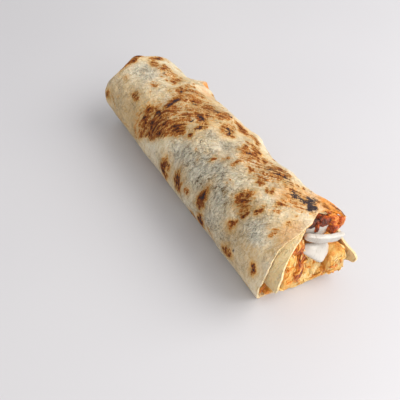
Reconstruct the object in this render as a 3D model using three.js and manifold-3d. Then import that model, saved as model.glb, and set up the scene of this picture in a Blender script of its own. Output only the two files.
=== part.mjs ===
// A rolled flatbread wrap filled with sliced chicken and onion, one end folded shut and one end open.
// Millimetres. X runs from the folded end to the open mouth, Y to the side of the seam, Z up from the table.
import * as THREE from 'three';
import { mergeVertices } from 'three/addons/utils/BufferGeometryUtils.js';
import Module from 'manifold-3d';

const wasm = await Module();
wasm.setup();

// The roll: half its width at the folded end, in the middle and at the mouth.
const FOLDED_HALF_WIDTH = 30.6;
const MIDDLE_HALF_WIDTH = 33;
const MOUTH_HALF_WIDTH = 33.2;
const HALF_LENGTH = 95;
const HEIGHT_TO_WIDTH = 0.985;
// The round section is pressed flat on the table, and its base turns up into the wall over a short height.
const BASE_SINK = 7;
const BASE_BLEND = 4;

// The sheet: its thickness, the slack between its turns, how many turns it makes and where it starts.
const SHEET = 1.5;
const SLACK = 0.4;
const TURNS = 1.75;
const SEAM_ANGLE = 25;
const STEPS_PER_TURN = 36;
// The share of a turn over which the sheet dives under its own loose edge.
const DIVE_START = 0.83;
const DIVE_END = 0.965;

// The folded end: a slanted face with a rounded rim, a sunken middle and shallow pleats.
const FOLDED_X = -98.5;
const FOLDED_SLANT = 3;
// Its upper corner away from the seam sticks out, along the roll and outwards.
const FOLD_CORNER_ANGLE = 152;
const FOLD_CORNER_WIDTH = 42;
const FOLD_CORNER_REACH = 4;
const FOLD_FLARE = 1.8;
const FOLD_FLARE_FROM = 70;
// From there to a second corner on top the fold is a straight crease, so the rim between them is cut back.
const CREASE_ANGLE = 131;
const CREASE_WIDTH = 19;
const CREASE_DEPTH = 4.4;
const TOP_CORNER_ANGLE = 97;
const TOP_CORNER_WIDTH = 11;
const TOP_CORNER_REACH = 2.5;
const RIM_RADIUS = 3;
const DISH = 5;
const PLEATS = 5;
const PLEAT_DEPTH = 1.1;
const TUCK_SHARE = 0.06;
const FACE_ROWS = 4;
const RIM_ROWS = 3;
const WALL_ROWS = 20;

// How far forward the sheet reaches at the mouth, as degrees wound from the seam side and X.
const MOUTH_EDGE = [
  [25, 92], [36, 90], [46, 87], [60, 85.5], [74, 86.5], [88, 90.5], [105, 91.5], [120, 91], [135, 92.5],
  [155, 94.5], [180, 95], [205, 93], [228, 90.5], [250, 93], [270, 95], [290, 96], [310, 97.5], [330, 100],
  [345, 105], [355, 109.5], [365, 95], [375, 91.5], [385, 90], [405, 87], [430, 84], [445, 86], [456, 92],
  [470, 95], [485, 97.5], [500, 100], [520, 103], [545, 102], [570, 98], [590, 95.5], [610, 95.5], [640, 95],
  [655, 94],
];
// Near the mouth the outer turn is pulled out to a corner and the inner turn cuts that corner off.
const CORNER_ANGLE = 228;
const CORNER_PULL = 3.5;
const CORNER_WIDTH = 17;
const CUT_ANGLE = 565;
const CUT_DEPTH = 5.5;
const CUT_WIDTH = 42;
const CORNER_FROM = 35;
const CORNER_TO = 95;

// Soft bulges of the wall, largest where it faces up on the seam side, and a finer ripple.
const BULGE = 1.2;
const BULGE_ANGLE = 50;
const BULGE_LENGTH = 105;
const BULGE_PEAK_X = -17;
const RIPPLE = 0.45;
// The loose edge: its line along the roll (X, degrees) and where it lifts off (X, reach, height).
const SEAM_LINE = [
  [-95, 27], [-46, 35], [-15, 23], [9, 30], [35, 32], [52, 44], [64, 48], [80, 42], [95, 30],
];
const SEAM_LIFTS = [[-56, 6, 5], [-46, 6, 2.5], [9, 8, 1.6], [62, 10, 0.8], [92, 16, 3.6]];
const SEAM_SHARE = 0.2;
const LIFT_SHARE = 0.1;

// The filling: the clearances round its pieces, and the leaning face of its core behind the mouth.
const CLEARANCE = 0.35;
const SHEET_CLEARANCE = 0.18;
const ROOM_CLEARANCE = 0.8;
const END_CLEARANCE = 2;
const CORE_FACE_X = 91;
const CORE_FACE_LEAN = 0.18;
const CORE_STEPS = 36;
const CORE_WALL_ROWS = 10;
const ROLL_MIDDLE_Z = 28;
// Sections of the room inside the roll near the mouth, the last one beyond every piece of food.
const INSIDE_XS = [-60, -20, 20, 40, 55, 70, 80, 90, 100, 112];

const radians = THREE.MathUtils.degToRad;

// Eased reading of a list of places and values.
function readAlong(list, place) {
  const next = list.findIndex(([at]) => at > place);
  if (next === 0) return list[0][1];
  if (next < 0) return list.at(-1)[1];
  const [before, low] = list[next - 1];
  const [after, high] = list[next];
  return THREE.MathUtils.lerp(low, high, THREE.MathUtils.smoothstep(place, before, after));
}

// A smooth hump, one at its middle and fading out over its reach.
function bell(distance, reach) {
  return Math.exp(-((distance / reach) ** 2));
}

// Half the width of the roll, a gentle barrel through its three measured places.
function halfWidth(x) {
  const place = x / HALF_LENGTH;
  const taper = (MOUTH_HALF_WIDTH - FOLDED_HALF_WIDTH) / 2;
  const sag = (MOUTH_HALF_WIDTH + FOLDED_HALF_WIDTH) / 2 - MIDDLE_HALF_WIDTH;
  return MIDDLE_HALF_WIDTH + taper * place + sag * place * place;
}

// A height above the table, blended smoothly into the table where it would pass below it.
function pressed(height) {
  const blend = Math.max(0, 1 - Math.abs(height) / BASE_BLEND);
  return Math.max(height, 0) + BASE_BLEND / 4 * blend * blend;
}

// How much of the folded end's corner there is at an angle.
function foldCorner(degrees) {
  return bell(THREE.MathUtils.euclideanModulo(degrees, 360) - FOLD_CORNER_ANGLE, FOLD_CORNER_WIDTH);
}

// The outward swell of the wall, widest at the doubled fold and fading out towards the base that it rests on.
function swell(x, degrees) {
  const angle = radians(degrees);
  const clearOfBase = THREE.MathUtils.smoothstep(Math.sin(angle), -0.6, 0);
  const seamSide = Math.max(0, Math.cos(angle - radians(BULGE_ANGLE)));
  const bulge = BULGE * seamSide * Math.cos(2 * Math.PI * (x - BULGE_PEAK_X) / BULGE_LENGTH);
  const ripple = RIPPLE * (Math.sin(x / 9 + 2 * angle) + Math.sin(x / 5.3 - 3 * angle + 1));
  const atFold = THREE.MathUtils.smoothstep(-x, FOLD_FLARE_FROM, -FOLDED_X);
  const flare = FOLD_FLARE * atFold * foldCorner(degrees);
  return clearOfBase * (bulge + ripple * (1 - atFold) + flare);
}

// How far a wound layer lies inside the roll's outer surface.
function layerInset(degrees, x) {
  const turn = (degrees - SEAM_ANGLE) / 360;
  const dive = (SHEET + SLACK) * THREE.MathUtils.smoothstep(turn, DIVE_START, DIVE_END);
  const atMouth = THREE.MathUtils.smoothstep(x, CORNER_FROM, CORNER_TO);
  const pull = CORNER_PULL * bell(degrees - CORNER_ANGLE, CORNER_WIDTH);
  const cut = CUT_DEPTH * bell(degrees - CUT_ANGLE, CUT_WIDTH);
  const fromEdge = (degrees - readAlong(SEAM_LINE, x)) / 360;
  const loose = Math.max(0, 1 - fromEdge / LIFT_SHARE) ** 2;
  const lift = SEAM_LIFTS.reduce((sum, [place, reach, height]) => sum + height * bell(x - place, reach), 0);
  return dive + atMouth * (cut - pull) - loose * lift - swell(x, degrees);
}

// A point of the wall's section; spread 1 is the wall itself and 0 the middle of the roll.
function sectionPoint(x, degrees, inset, spread) {
  const across = halfWidth(x);
  const up = HEIGHT_TO_WIDTH * across;
  const axisHeight = up - BASE_SINK;
  const floor = Math.max(inset, 0);
  const angle = radians(degrees);
  const wallY = (across - inset) * Math.cos(angle);
  const wallZ = floor + pressed(axisHeight + (up - inset) * Math.sin(angle) - floor);
  const middle = (axisHeight + up) / 2;
  return new THREE.Vector3(x, wallY * spread, middle + (wallZ - middle) * spread);
}

// X of the folded face, with its slant, its corners and crease, its sunken middle and its pleats.
function foldedFaceX(degrees, spread) {
  const angle = radians(degrees);
  const sunk = DISH * (1 - spread) ** 2;
  const pleat = PLEAT_DEPTH * Math.sin(PLEATS * angle + 4 * (1 - spread)) * 4 * spread * (1 - spread);
  const around = THREE.MathUtils.euclideanModulo(degrees, 360);
  const topCorner = TOP_CORNER_REACH * bell(around - TOP_CORNER_ANGLE, TOP_CORNER_WIDTH);
  const crease = CREASE_DEPTH * bell(around - CREASE_ANGLE, CREASE_WIDTH);
  const rim = spread ** 3 * (FOLD_CORNER_REACH * foldCorner(degrees) + topCorner - crease);
  return FOLDED_X + FOLDED_SLANT * spread * Math.cos(angle) - rim + sunk + pleat;
}

// One row along the sheet: its spread across the section, its step round the rim and its share of the wall.
function sheetRow(row) {
  const rimShare = RIM_RADIUS / FOLDED_HALF_WIDTH;
  if (row <= FACE_ROWS) {
    return { spread: THREE.MathUtils.lerp(TUCK_SHARE, 1 - rimShare, row / FACE_ROWS), step: 0, share: 0 };
  }
  if (row <= FACE_ROWS + RIM_ROWS) {
    const bend = (row - FACE_ROWS) / RIM_ROWS * Math.PI / 2;
    const spread = 1 - rimShare * (1 - Math.sin(bend));
    return { spread, step: RIM_RADIUS * (1 - Math.cos(bend)), share: 0 };
  }
  return { spread: 1, step: RIM_RADIUS, share: (row - FACE_ROWS - RIM_ROWS) / WALL_ROWS };
}

// A point of the wound sheet at a depth below its outer face.
// Inner turns lie further in at the folded end too.
function layerPoint(degrees, row, endX, depth) {
  const { spread, step, share } = sheetRow(row);
  const start = foldedFaceX(degrees, spread) + step;
  const inset = layerInset(degrees, THREE.MathUtils.lerp(start, endX, share)) + depth;
  const layersOver = Math.max(0, layerInset(degrees, FOLDED_X) + swell(FOLDED_X, degrees));
  const woundIn = share === 0 ? layersOver + depth : 0;
  const x = THREE.MathUtils.lerp(start + woundIn, endX, share);
  return sectionPoint(x, degrees, inset, spread);
}

// A closed surface through loops of points, with a list of extra triangles that close its two ends.
function loftedGeometry(loops, closing) {
  const count = loops[0].length;
  const points = loops.flat();
  const triangles = [];
  for (let row = 0; row + 1 < loops.length; row += 1) {
    for (let i = 0; i < count; i += 1) {
      const next = (i + 1) % count;
      const low = row * count;
      const high = low + count;
      triangles.push(low + i, low + next, high + next);
      triangles.push(low + i, high + next, high + i);
    }
  }
  triangles.push(...closing(points));
  const geometry = new THREE.BufferGeometry().setFromPoints(points);
  geometry.setIndex(triangles);
  return geometry;
}

// A closed three.js geometry as a solid that can be joined and cut.
function solidOf(geometry) {
  const bare = geometry.clone();
  bare.deleteAttribute('normal');
  bare.deleteAttribute('uv');
  const welded = mergeVertices(bare, 1e-4);
  const mesh = new wasm.Mesh({
    numProp: 3,
    vertProperties: new Float32Array(welded.attributes.position.array),
    triVerts: new Uint32Array(welded.index.array),
  });
  return new wasm.Manifold(mesh);
}

// The way back, from a solid to a geometry with normals.
function geometryOf(solid) {
  const { vertProperties, triVerts } = solid.getMesh();
  const geometry = new THREE.BufferGeometry();
  geometry.setAttribute('position', new THREE.BufferAttribute(vertProperties, 3));
  geometry.setIndex(new THREE.BufferAttribute(triVerts, 1));
  geometry.computeVertexNormals();
  return geometry;
}

// The flatbread is one sheet wound from its loose edge inwards.
// Each loop runs inwards along its outer face and back along its inner face.
// A margin makes it fatter on both faces and at the mouth, for cutting other pieces clear of it.
function flatbreadGeometry(margin) {
  const columns = Math.round(TURNS * STEPS_PER_TURN);
  const rows = FACE_ROWS + RIM_ROWS + WALL_ROWS;
  const overhang = THREE.MathUtils.radToDeg(margin / MIDDLE_HALF_WIDTH);
  const loops = [];
  for (let row = 0; row <= rows; row += 1) {
    const share = Math.max(0, row - FACE_ROWS - RIM_ROWS) / WALL_ROWS;
    const seam = readAlong(SEAM_LINE, THREE.MathUtils.lerp(FOLDED_X, HALF_LENGTH, share));
    const faces = [-margin, SHEET + margin].map((depth) => {
      const line = [];
      for (let column = 0; column <= columns; column += 1) {
        const turn = column / STEPS_PER_TURN;
        const wander = (seam - SEAM_ANGLE) * Math.max(0, 1 - turn / SEAM_SHARE) ** 2;
        const beyond = overhang * (Number(column === columns) - Number(column === 0));
        const degrees = SEAM_ANGLE + 360 * turn + wander + beyond;
        line.push(layerPoint(degrees, row, readAlong(MOUTH_EDGE, degrees) + margin, depth));
      }
      return line;
    });
    loops.push([...faces[0], ...faces[1].reverse()]);
  }
  const count = 2 * (columns + 1);
  return loftedGeometry(loops, () => {
    const triangles = [];
    const last = rows * count;
    for (let i = 0; i < columns; i += 1) {
      const back = count - 1 - i;
      triangles.push(i, back - 1, i + 1, i, back, back - 1);
      triangles.push(last + i, last + i + 1, last + back - 1, last + i, last + back - 1, last + back);
    }
    return triangles;
  });
}

// How far in the filling stays, under the innermost turn of the sheet and past the step at its inner end.
function roomInset(degrees, x) {
  const innerEnd = SEAM_ANGLE + 360 * (TURNS - 1);
  const wound = degrees < innerEnd ? degrees + 360 : degrees;
  const overEnd = (SHEET + SLACK) * (1 - THREE.MathUtils.smoothstep(wound, innerEnd + 6, innerEnd + 34));
  return layerInset(wound, x) + SHEET + ROOM_CLEARANCE + overEnd;
}

// A ring of points inside the sheet, where x tells its place along the roll at each angle.
function ringOf(x, spread) {
  const ring = [];
  for (let i = 0; i < CORE_STEPS; i += 1) {
    const degrees = SEAM_ANGLE + 360 * i / CORE_STEPS;
    ring.push(sectionPoint(x(degrees), degrees, roomInset(degrees, x(degrees)), spread));
  }
  return ring;
}

// Triangles that close the first and the last ring of a loft to a point each.
function closeWithFans(first, last) {
  return (points) => {
    const count = CORE_STEPS;
    const lastRing = points.length - count;
    const triangles = [];
    points.push(first, last);
    for (let i = 0; i < count; i += 1) {
      const next = (i + 1) % count;
      triangles.push(next, i, points.length - 2);
      triangles.push(lastRing + i, lastRing + next, points.length - 1);
    }
    return triangles;
  };
}

// The face of the filling's core leans back towards its top.
function coreFaceX(z) {
  return CORE_FACE_X - CORE_FACE_LEAN * z;
}

// The core of the filling runs the whole length of the roll and stops behind the pieces that show.
function coreGeometry() {
  const thick = 2 * (SHEET + SLACK) + END_CLEARANCE;
  const faceX = (spread) => (degrees) => foldedFaceX(degrees, spread) + thick;
  const rim = 1 - RIM_RADIUS / FOLDED_HALF_WIDTH;
  const loops = [ringOf(faceX(0.4), 0.4), ringOf(faceX(rim), rim)];
  for (const bend of [45, 90]) {
    const spread = 1 - (1 - rim) * (1 - Math.sin(radians(bend)));
    const step = RIM_RADIUS * (1 - Math.cos(radians(bend)));
    loops.push(ringOf((degrees) => faceX(spread)(degrees) + step, spread));
  }
  for (let row = 1; row <= CORE_WALL_ROWS; row += 1) {
    const share = row / CORE_WALL_ROWS;
    loops.push(ringOf((degrees) => {
      const start = faceX(1)(degrees) + RIM_RADIUS;
      const height = sectionPoint(CORE_FACE_X, degrees, 4, 1).z;
      return THREE.MathUtils.lerp(start, coreFaceX(height), share);
    }, 1));
  }
  const front = loops.at(-1);
  const tail = new THREE.Vector3(FOLDED_X + DISH + thick, 0, ROLL_MIDDLE_Z);
  const middle = new THREE.Vector3(coreFaceX(ROLL_MIDDLE_Z), 0, ROLL_MIDDLE_Z);
  loops.push(front.map((point) => point.clone().lerp(middle, 0.5)));
  return loftedGeometry(loops, closeWithFans(tail, middle));
}

// The room inside the roll carried on past the mouth, which the pieces at the mouth are kept within.
function insideGeometry() {
  const loops = INSIDE_XS.map((x) => ringOf(() => x, 1));
  const first = new THREE.Vector3(INSIDE_XS[0], 0, ROLL_MIDDLE_Z);
  const last = new THREE.Vector3(INSIDE_XS.at(-1), 0, ROLL_MIDDLE_Z);
  return loftedGeometry(loops, closeWithFans(first, last));
}

// A shape turned about X, then Y, then Z by degrees and moved to its place.
function placed(geometry, turn, place) {
  const [aboutX, aboutY, aboutZ] = turn.map(radians);
  geometry.rotateX(aboutX).rotateY(aboutY).rotateZ(aboutZ);
  return geometry.translate(...place);
}

// A lump of meat: a few-sided ball, dented, drawn out to three half sizes, turned and set in place.
const LUMP_DENT = 0.28;

function lump(centre, halfSizes, turn, seed) {
  const geometry = new THREE.IcosahedronGeometry(1, 1);
  const position = geometry.attributes.position;
  const point = new THREE.Vector3();
  for (let i = 0; i < position.count; i += 1) {
    point.fromBufferAttribute(position, i);
    const { x, y, z } = point;
    const dent = Math.sin(5 * x + seed) * Math.sin(4 * y + 2 * seed) * Math.sin(4.6 * z + 3 * seed);
    point.multiplyScalar(1 + LUMP_DENT * dent);
    position.setXYZ(i, point.x, point.y, point.z);
  }
  geometry.scale(...halfSizes);
  return solidOf(placed(geometry, turn, centre));
}

// Pieces of chicken that show at the mouth: centre, half sizes and turns.
const CHICKEN_PIECES = [
  [[91, -9, 24], [6, 3.5, 11], [-12, -12, 0]],
  [[91, -2, 25], [6, 4, 9.5], [-18, -10, 10]],
  [[95, 9, 11], [7, 9, 6.5], [0, 20, 15]],
  [[94.5, -1, 9], [6.5, 6, 5.5], [10, 15, -10]],
  [[94, 27.5, 16], [7, 6, 10], [10, -8, 20]],
  [[97.5, 26, 8], [7, 7.5, 6], [-8, 10, 15]],
  [[97, 16, 8], [7, 7, 5.5], [20, 10, 0]],
  [[86, -2, 37], [6, 5, 5], [0, -20, 0]],
  [[84, 10, 28], [7, 8, 6], [0, 0, 30]],
  [[87, 22, 25], [6, 6, 6], [0, 10, 0]],
  [[91, -12, 11], [6, 5, 5.5], [20, 0, 10]],
  [[88.5, -17, 23], [7, 5.5, 9.5], [15, -8, 0]],
  [[85.5, -12, 38], [7, 8, 7], [25, -12, 0]],
  [[83, -3, 46.5], [6.5, 8, 5], [5, -15, 10]],
];

// The browned slice under the top of the mouth is one piece with a lobe and a torn strip hanging from it.
const BROWNED_LOBES = [
  [[82, 9, 49.5], [9, 6.5, 4], [-18, -6, 0]],
  [[86, 17, 47], [8, 7, 4.5], [-28, -8, 10]],
  [[90, 24.5, 42], [7, 7, 5.5], [-40, -10, 15]],
  [[91.5, 28, 41], [5.5, 4.5, 5], [-20, 0, 10]],
  [[93, 23, 39], [5, 5.5, 3.5], [-20, 0, 10]],
  [[90, 9.5, 49.5], [2.8, 1.5, 4.2], [-6, 0, 0]],
];

// A slice of onion layer: a strip bent round an arc, thicker in the middle than at its two ends.
const ONION_STEPS = 14;
const ONION_CORNERS = 8;
const ONION_END_SHARE = 0.2;
const LOWER_SLICE = {
  middle: [95.5, 14.5, 38.5], turn: [-10, 4, -22], radius: 25, arc: 72, halfHeight: 3.2, halfThickness: 1.7,
};
const UPPER_SLICE = {
  middle: [89, 11.5, 44.5], turn: [-12, -8, -10], radius: 18, arc: 60, halfHeight: 4, halfThickness: 1.6,
};

function onionSlice({ middle, turn, radius, arc, halfHeight, halfThickness }, growth) {
  const loops = [];
  for (let step = 0; step <= ONION_STEPS; step += 1) {
    const along = 1 - step / ONION_STEPS * 2;
    const angle = radians(arc / 2 * along);
    const taper = Math.max(ONION_END_SHARE, Math.sqrt(1 - along ** 4));
    const loop = [];
    for (let corner = 0; corner < ONION_CORNERS; corner += 1) {
      const around = radians(360 * (corner + 0.5) / ONION_CORNERS);
      const reach = radius + (halfThickness * taper + growth) * Math.cos(around);
      const rise = (halfHeight * taper + growth) * Math.sin(around);
      loop.push(new THREE.Vector3(reach * Math.cos(angle) - radius, reach * Math.sin(angle), rise));
    }
    loops.push(loop);
  }
  const geometry = loftedGeometry(loops, (points) => {
    const triangles = [];
    const last = points.length - ONION_CORNERS;
    for (let corner = 1; corner + 1 < ONION_CORNERS; corner += 1) {
      triangles.push(0, corner + 1, corner);
      triangles.push(last, last + corner, last + corner + 1);
    }
    return triangles;
  });
  return solidOf(placed(geometry, turn, middle));
}

// The onion petal is a domed shield: a square-shouldered outline that narrows to a tip, swept over a ball.
const PETAL_MIDDLE = [95, 10.5, 28.5];
const PETAL_HALF_WIDTH = 9.4;
const PETAL_HALF_HEIGHT = 7.5;
const PETAL_THICKNESS = 3.4;
const PETAL_DOME_RADIUS = 19;
const PETAL_SQUARENESS = 0.7;
const PETAL_TIP_NARROWING = 0.55;
const PETAL_TIP_SHIFT = 4.5;
const PETAL_RIM_SHARE = 0.25;
const PETAL_TURN = [-14, -38, 4];
const PETAL_RINGS = 4;
const PETAL_STEPS = 20;

// A sine or cosine pushed outwards, so that a circle through it turns into a rounded square.
function squared(value) {
  return Math.sign(value) * Math.abs(value) ** PETAL_SQUARENESS;
}

function onionPetal(growth) {
  const faces = [];
  for (const side of [1, -1]) {
    const rings = [];
    for (let ring = 1; ring <= PETAL_RINGS; ring += 1) {
      const share = Math.sin(ring / PETAL_RINGS * Math.PI / 2);
      const bevel = Math.max(PETAL_RIM_SHARE, Math.sqrt(1 - share ** 6));
      const thick = PETAL_THICKNESS / 2 * bevel + growth;
      const loop = [];
      for (let i = 0; i < PETAL_STEPS; i += 1) {
        const angle = 2 * Math.PI * i / PETAL_STEPS;
        const tip = Math.max(0, -Math.sin(angle));
        const narrow = 1 - PETAL_TIP_NARROWING * tip ** 1.5;
        const sideways = squared(Math.cos(angle)) * (PETAL_HALF_WIDTH * narrow + growth);
        const across = share * (sideways + PETAL_TIP_SHIFT * tip);
        const up = share * squared(Math.sin(angle)) * (PETAL_HALF_HEIGHT + growth);
        const dome = Math.sqrt(PETAL_DOME_RADIUS ** 2 - across ** 2 - up ** 2) - PETAL_DOME_RADIUS;
        loop.push(new THREE.Vector3(dome + side * thick, across, up));
      }
      rings.push(loop);
    }
    faces.push(rings);
  }
  const loops = [...faces[1], ...faces[0].reverse()];
  const geometry = loftedGeometry(loops, (points) => {
    const triangles = [];
    const last = points.length - PETAL_STEPS;
    points.push(new THREE.Vector3(-PETAL_THICKNESS / 2 - growth, 0, 0));
    points.push(new THREE.Vector3(PETAL_THICKNESS / 2 + growth, 0, 0));
    for (let i = 0; i < PETAL_STEPS; i += 1) {
      const next = (i + 1) % PETAL_STEPS;
      triangles.push(next, i, points.length - 2);
      triangles.push(last + i, last + next, points.length - 1);
    }
    return triangles;
  });
  return solidOf(placed(geometry, PETAL_TURN, PETAL_MIDDLE));
}

// The main body of a solid whose cuts may have parted crumbs from it.
function mainBody(solid) {
  return solid.decompose().reduce((best, body) => (body.volume() > best.volume() ? body : best));
}

// A list of lumps, all grown by a clearance.
function lumps(list, growth) {
  return list.map(([centre, halfSizes, turn], index) => {
    const sizes = halfSizes.map((size) => size + growth);
    return lump(centre, sizes, turn, index + 1);
  });
}

// Each piece gives way to the ones before it, and a grown copy of a neighbour leaves a gap between the two.
const flatbread = solidOf(flatbreadGeometry(0));
const sheetMargin = solidOf(flatbreadGeometry(SHEET_CLEARANCE));
const inside = solidOf(insideGeometry());
const lowerMargin = onionSlice(LOWER_SLICE, CLEARANCE);
const upperMargin = onionSlice(UPPER_SLICE, CLEARANCE);
const petalMargin = onionPetal(CLEARANCE);
const brownedMargin = wasm.Manifold.union(lumps(BROWNED_LOBES, CLEARANCE));

const lowerSlice = onionSlice(LOWER_SLICE, 0).subtract(sheetMargin);
const upperSlice = onionSlice(UPPER_SLICE, 0).subtract(sheetMargin).subtract(lowerMargin);
const petal = onionPetal(0).subtract(sheetMargin).subtract(lowerMargin);
const browned = wasm.Manifold.union(lumps(BROWNED_LOBES, 0))
  .subtract(wasm.Manifold.union([sheetMargin, lowerMargin, upperMargin]));
const chicken = lumps(CHICKEN_PIECES, 0).map((one) => one.intersect(inside));
const filling = wasm.Manifold.union([solidOf(coreGeometry()), ...chicken])
  .subtract(wasm.Manifold.union([sheetMargin, lowerMargin, upperMargin, petalMargin, brownedMargin]));

// A named mesh with a material of its own.
function piece(name, solid, color, roughness) {
  const mesh = new THREE.Mesh(geometryOf(solid), new THREE.MeshStandardMaterial({ color, roughness }));
  mesh.name = name;
  return mesh;
}

const wrap = new THREE.Group();
wrap.name = 'chicken_wrap';
wrap.add(piece('flatbread', flatbread, '#e8d6ae', 0.8));
wrap.add(piece('chicken_filling', mainBody(filling), '#d99a48', 0.6));
wrap.add(piece('browned_chicken', mainBody(browned), '#8a3a14', 0.5));
wrap.add(piece('onion_slice_lower', mainBody(lowerSlice), '#eef0ea', 0.35));
wrap.add(piece('onion_slice_upper', mainBody(upperSlice), '#eef0ea', 0.35));
wrap.add(piece('onion_petal', mainBody(petal), '#f2f3f0', 0.35));

// The origin is under the middle of the whole wrap, on the table.
const box = new THREE.Box3().setFromObject(wrap);
const middle = box.getCenter(new THREE.Vector3());
for (const mesh of wrap.children) {
  mesh.geometry.translate(-middle.x, -middle.y, -box.min.z);
}

export default wrap;
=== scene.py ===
# %% [markdown]
# # Dressing a rolled chicken wrap
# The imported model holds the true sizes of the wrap, in metres. This lesson puts the surface of the real
# food over it: toasted flatbread, torn chicken, browned meat, raw onion and sauce. Each step says what
# the piece is on the real wrap, how it could be made, and why it is made this way.

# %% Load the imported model
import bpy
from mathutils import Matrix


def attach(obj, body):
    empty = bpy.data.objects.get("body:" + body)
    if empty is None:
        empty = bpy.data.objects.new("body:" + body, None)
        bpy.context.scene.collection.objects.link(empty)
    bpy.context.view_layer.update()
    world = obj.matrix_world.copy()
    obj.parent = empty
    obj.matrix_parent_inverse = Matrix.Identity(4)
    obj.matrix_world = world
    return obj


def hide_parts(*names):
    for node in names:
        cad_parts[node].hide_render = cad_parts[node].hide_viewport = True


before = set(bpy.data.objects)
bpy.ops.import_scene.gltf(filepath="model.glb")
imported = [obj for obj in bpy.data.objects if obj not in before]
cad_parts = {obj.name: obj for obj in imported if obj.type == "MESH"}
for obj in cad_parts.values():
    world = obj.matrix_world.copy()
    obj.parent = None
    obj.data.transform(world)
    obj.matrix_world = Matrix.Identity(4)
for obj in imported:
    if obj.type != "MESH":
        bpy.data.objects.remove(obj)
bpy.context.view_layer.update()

# %% [markdown]
# ## Sizes and places
# The rules below are easier to read in millimetres and along the roll's own axis, so the nodes work in
# those and change to metres in the last step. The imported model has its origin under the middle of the
# whole wrap, which is a little away from the middle of the roll.

# %% Units and the roll's own frame
import math

import bpy
import numpy as np
from mathutils import Matrix, Vector
from mathutils import noise as blender_noise

MM = 0.001
ROLL_SHIFT = (-2.935, 0.306, 0.0)
AXIS_HEIGHT = 27.0


def in_metres(point):
    """A point of the roll's own frame, in millimetres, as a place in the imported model."""
    return Vector([(value + shift) * MM for value, shift in zip(point, ROLL_SHIFT)])


middle_of_axis = in_metres((0, 0, AXIS_HEIGHT))
print("the middle of the roll's axis lies at", [round(value, 4) for value in middle_of_axis])

# %% [markdown]
# ## Numbers that flow through nodes
# A node tree is a calculation, but a sum of ten terms takes ten Math nodes, and wiring them by hand
# hides the rule. The small class below wraps an output socket so that plus, minus and times add the Math
# nodes by themselves. A rule can then be written as it would be on paper, and Blender still gets an
# ordinary tree.


# %% A wire that can be calculated with
def feed(socket, value):
    """Links a wire to an input, or sets the input to a plain value."""
    if isinstance(value, Wire):
        socket.id_data.links.new(value.socket, socket)
    else:
        socket.default_value = value


class Wire:
    """An output socket; each sum or product with it adds one Math node."""

    def __init__(self, socket):
        self.socket = socket
        self.tree = socket.id_data

    def math(self, operation, *others):
        node = self.tree.nodes.new("ShaderNodeMath")
        node.operation = operation
        for socket, value in zip(node.inputs, (self, *others)):
            feed(socket, value)
        return Wire(node.outputs[0])

    def at_least(self, other):
        return self.math("MAXIMUM", other)

    def at_most(self, other):
        return self.math("MINIMUM", other)

    def __abs__(self):
        return self.math("ABSOLUTE")

    def __add__(self, other):
        return self.math("ADD", other)

    def __sub__(self, other):
        return self.math("SUBTRACT", other)

    def __rsub__(self, other):
        return (self * -1).math("ADD", other)

    def __mul__(self, other):
        return self.math("MULTIPLY", other)

    def __truediv__(self, other):
        return self.math("DIVIDE", other)

    __radd__ = __add__


# %% Nodes by one line each
def put(tree, kind, inputs=None, **options):
    """Adds a node, sets its options, feeds its inputs by name or number and returns it."""
    node = tree.nodes.new(kind)
    for option, value in options.items():
        setattr(node, option, value)
    for key, value in (inputs or {}).items():
        feed(node.inputs[key], value)
    return node


def out(node, key=0):
    return Wire(node.outputs[key])


def ramped(value, low, high, interpolation="LINEAR"):
    """0 below low, 1 above high and a straight rise between."""
    inputs = {"Value": value, "From Min": low, "From Max": high}
    return out(put(value.tree, "ShaderNodeMapRange", inputs, interpolation_type=interpolation))


def eased(value, low, high):
    """0 below low, 1 above high and a soft rise between."""
    return ramped(value, low, high, "SMOOTHSTEP")


def mixed(first, second, share):
    """The number that lies a share of the way from the first to the second."""
    return first + (second - first) * share


def vector(tree, x, y, z):
    return out(put(tree, "ShaderNodeCombineXYZ", {0: x, 1: y, 2: z}))


def parts_of(wire):
    """The X, Y and Z of a vector."""
    node = put(wire.tree, "ShaderNodeSeparateXYZ", {0: wire})
    return [out(node, index) for index in range(3)]


def vector_math(operation, first, *others):
    inputs = dict(enumerate((first, *others)))
    node = put(first.tree, "ShaderNodeVectorMath", inputs, operation=operation)
    return out(node, "Value" if operation == "LENGTH" else 0)


def scaled(place, factor):
    return out(put(place.tree, "ShaderNodeVectorMath", {0: place, "Scale": factor}, operation="SCALE"))


def noise(place, scale, detail=2.0, roughness=0.5):
    """Noise from about -0.5 to 0.5 at a place."""
    inputs = {"Vector": place, "Scale": scale, "Detail": detail, "Roughness": roughness}
    return out(put(place.tree, "ShaderNodeTexNoise", inputs)) - 0.5


# %% [markdown]
# ## Materials from wires
# A material is a node tree too, so the same wires write it. Colours are given as they look on a screen
# and turned into the linear values that the shader works with. A value that is the same all over is set
# on the shader's own socket. Only colour, roughness and bump are wired.


# %% Material helpers
def linear(red, green, blue):
    """A screen colour, 0 to 255, as the linear colour that shaders use."""
    def one(value):
        share = value / 255
        return share / 12.92 if share <= 0.04045 else ((share + 0.055) / 1.055) ** 2.4
    return (one(red), one(green), one(blue), 1.0)


def new_material(name, **sockets):
    """A material whose shader has these constant values; returns it and its shader node."""
    material = bpy.data.materials.new(name)
    material.use_nodes = True
    shader = material.node_tree.nodes["Principled BSDF"]
    for title, value in sockets.items():
        shader.inputs[title.replace("_", " ")].default_value = value
    return material, shader


def object_place(tree):
    return out(put(tree, "ShaderNodeTexCoord"), "Object")


def painted(tree, name, output="Fac"):
    """An attribute of the mesh, read by a material."""
    return out(put(tree, "ShaderNodeAttribute", attribute_name=name), output)


def blended(first, second, share):
    """One colour laid over another; each may be a wire or a plain colour."""
    node = put(share.tree, "ShaderNodeMix", {0: share, 6: first, 7: second}, data_type="RGBA")
    return out(node, 2)


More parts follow.
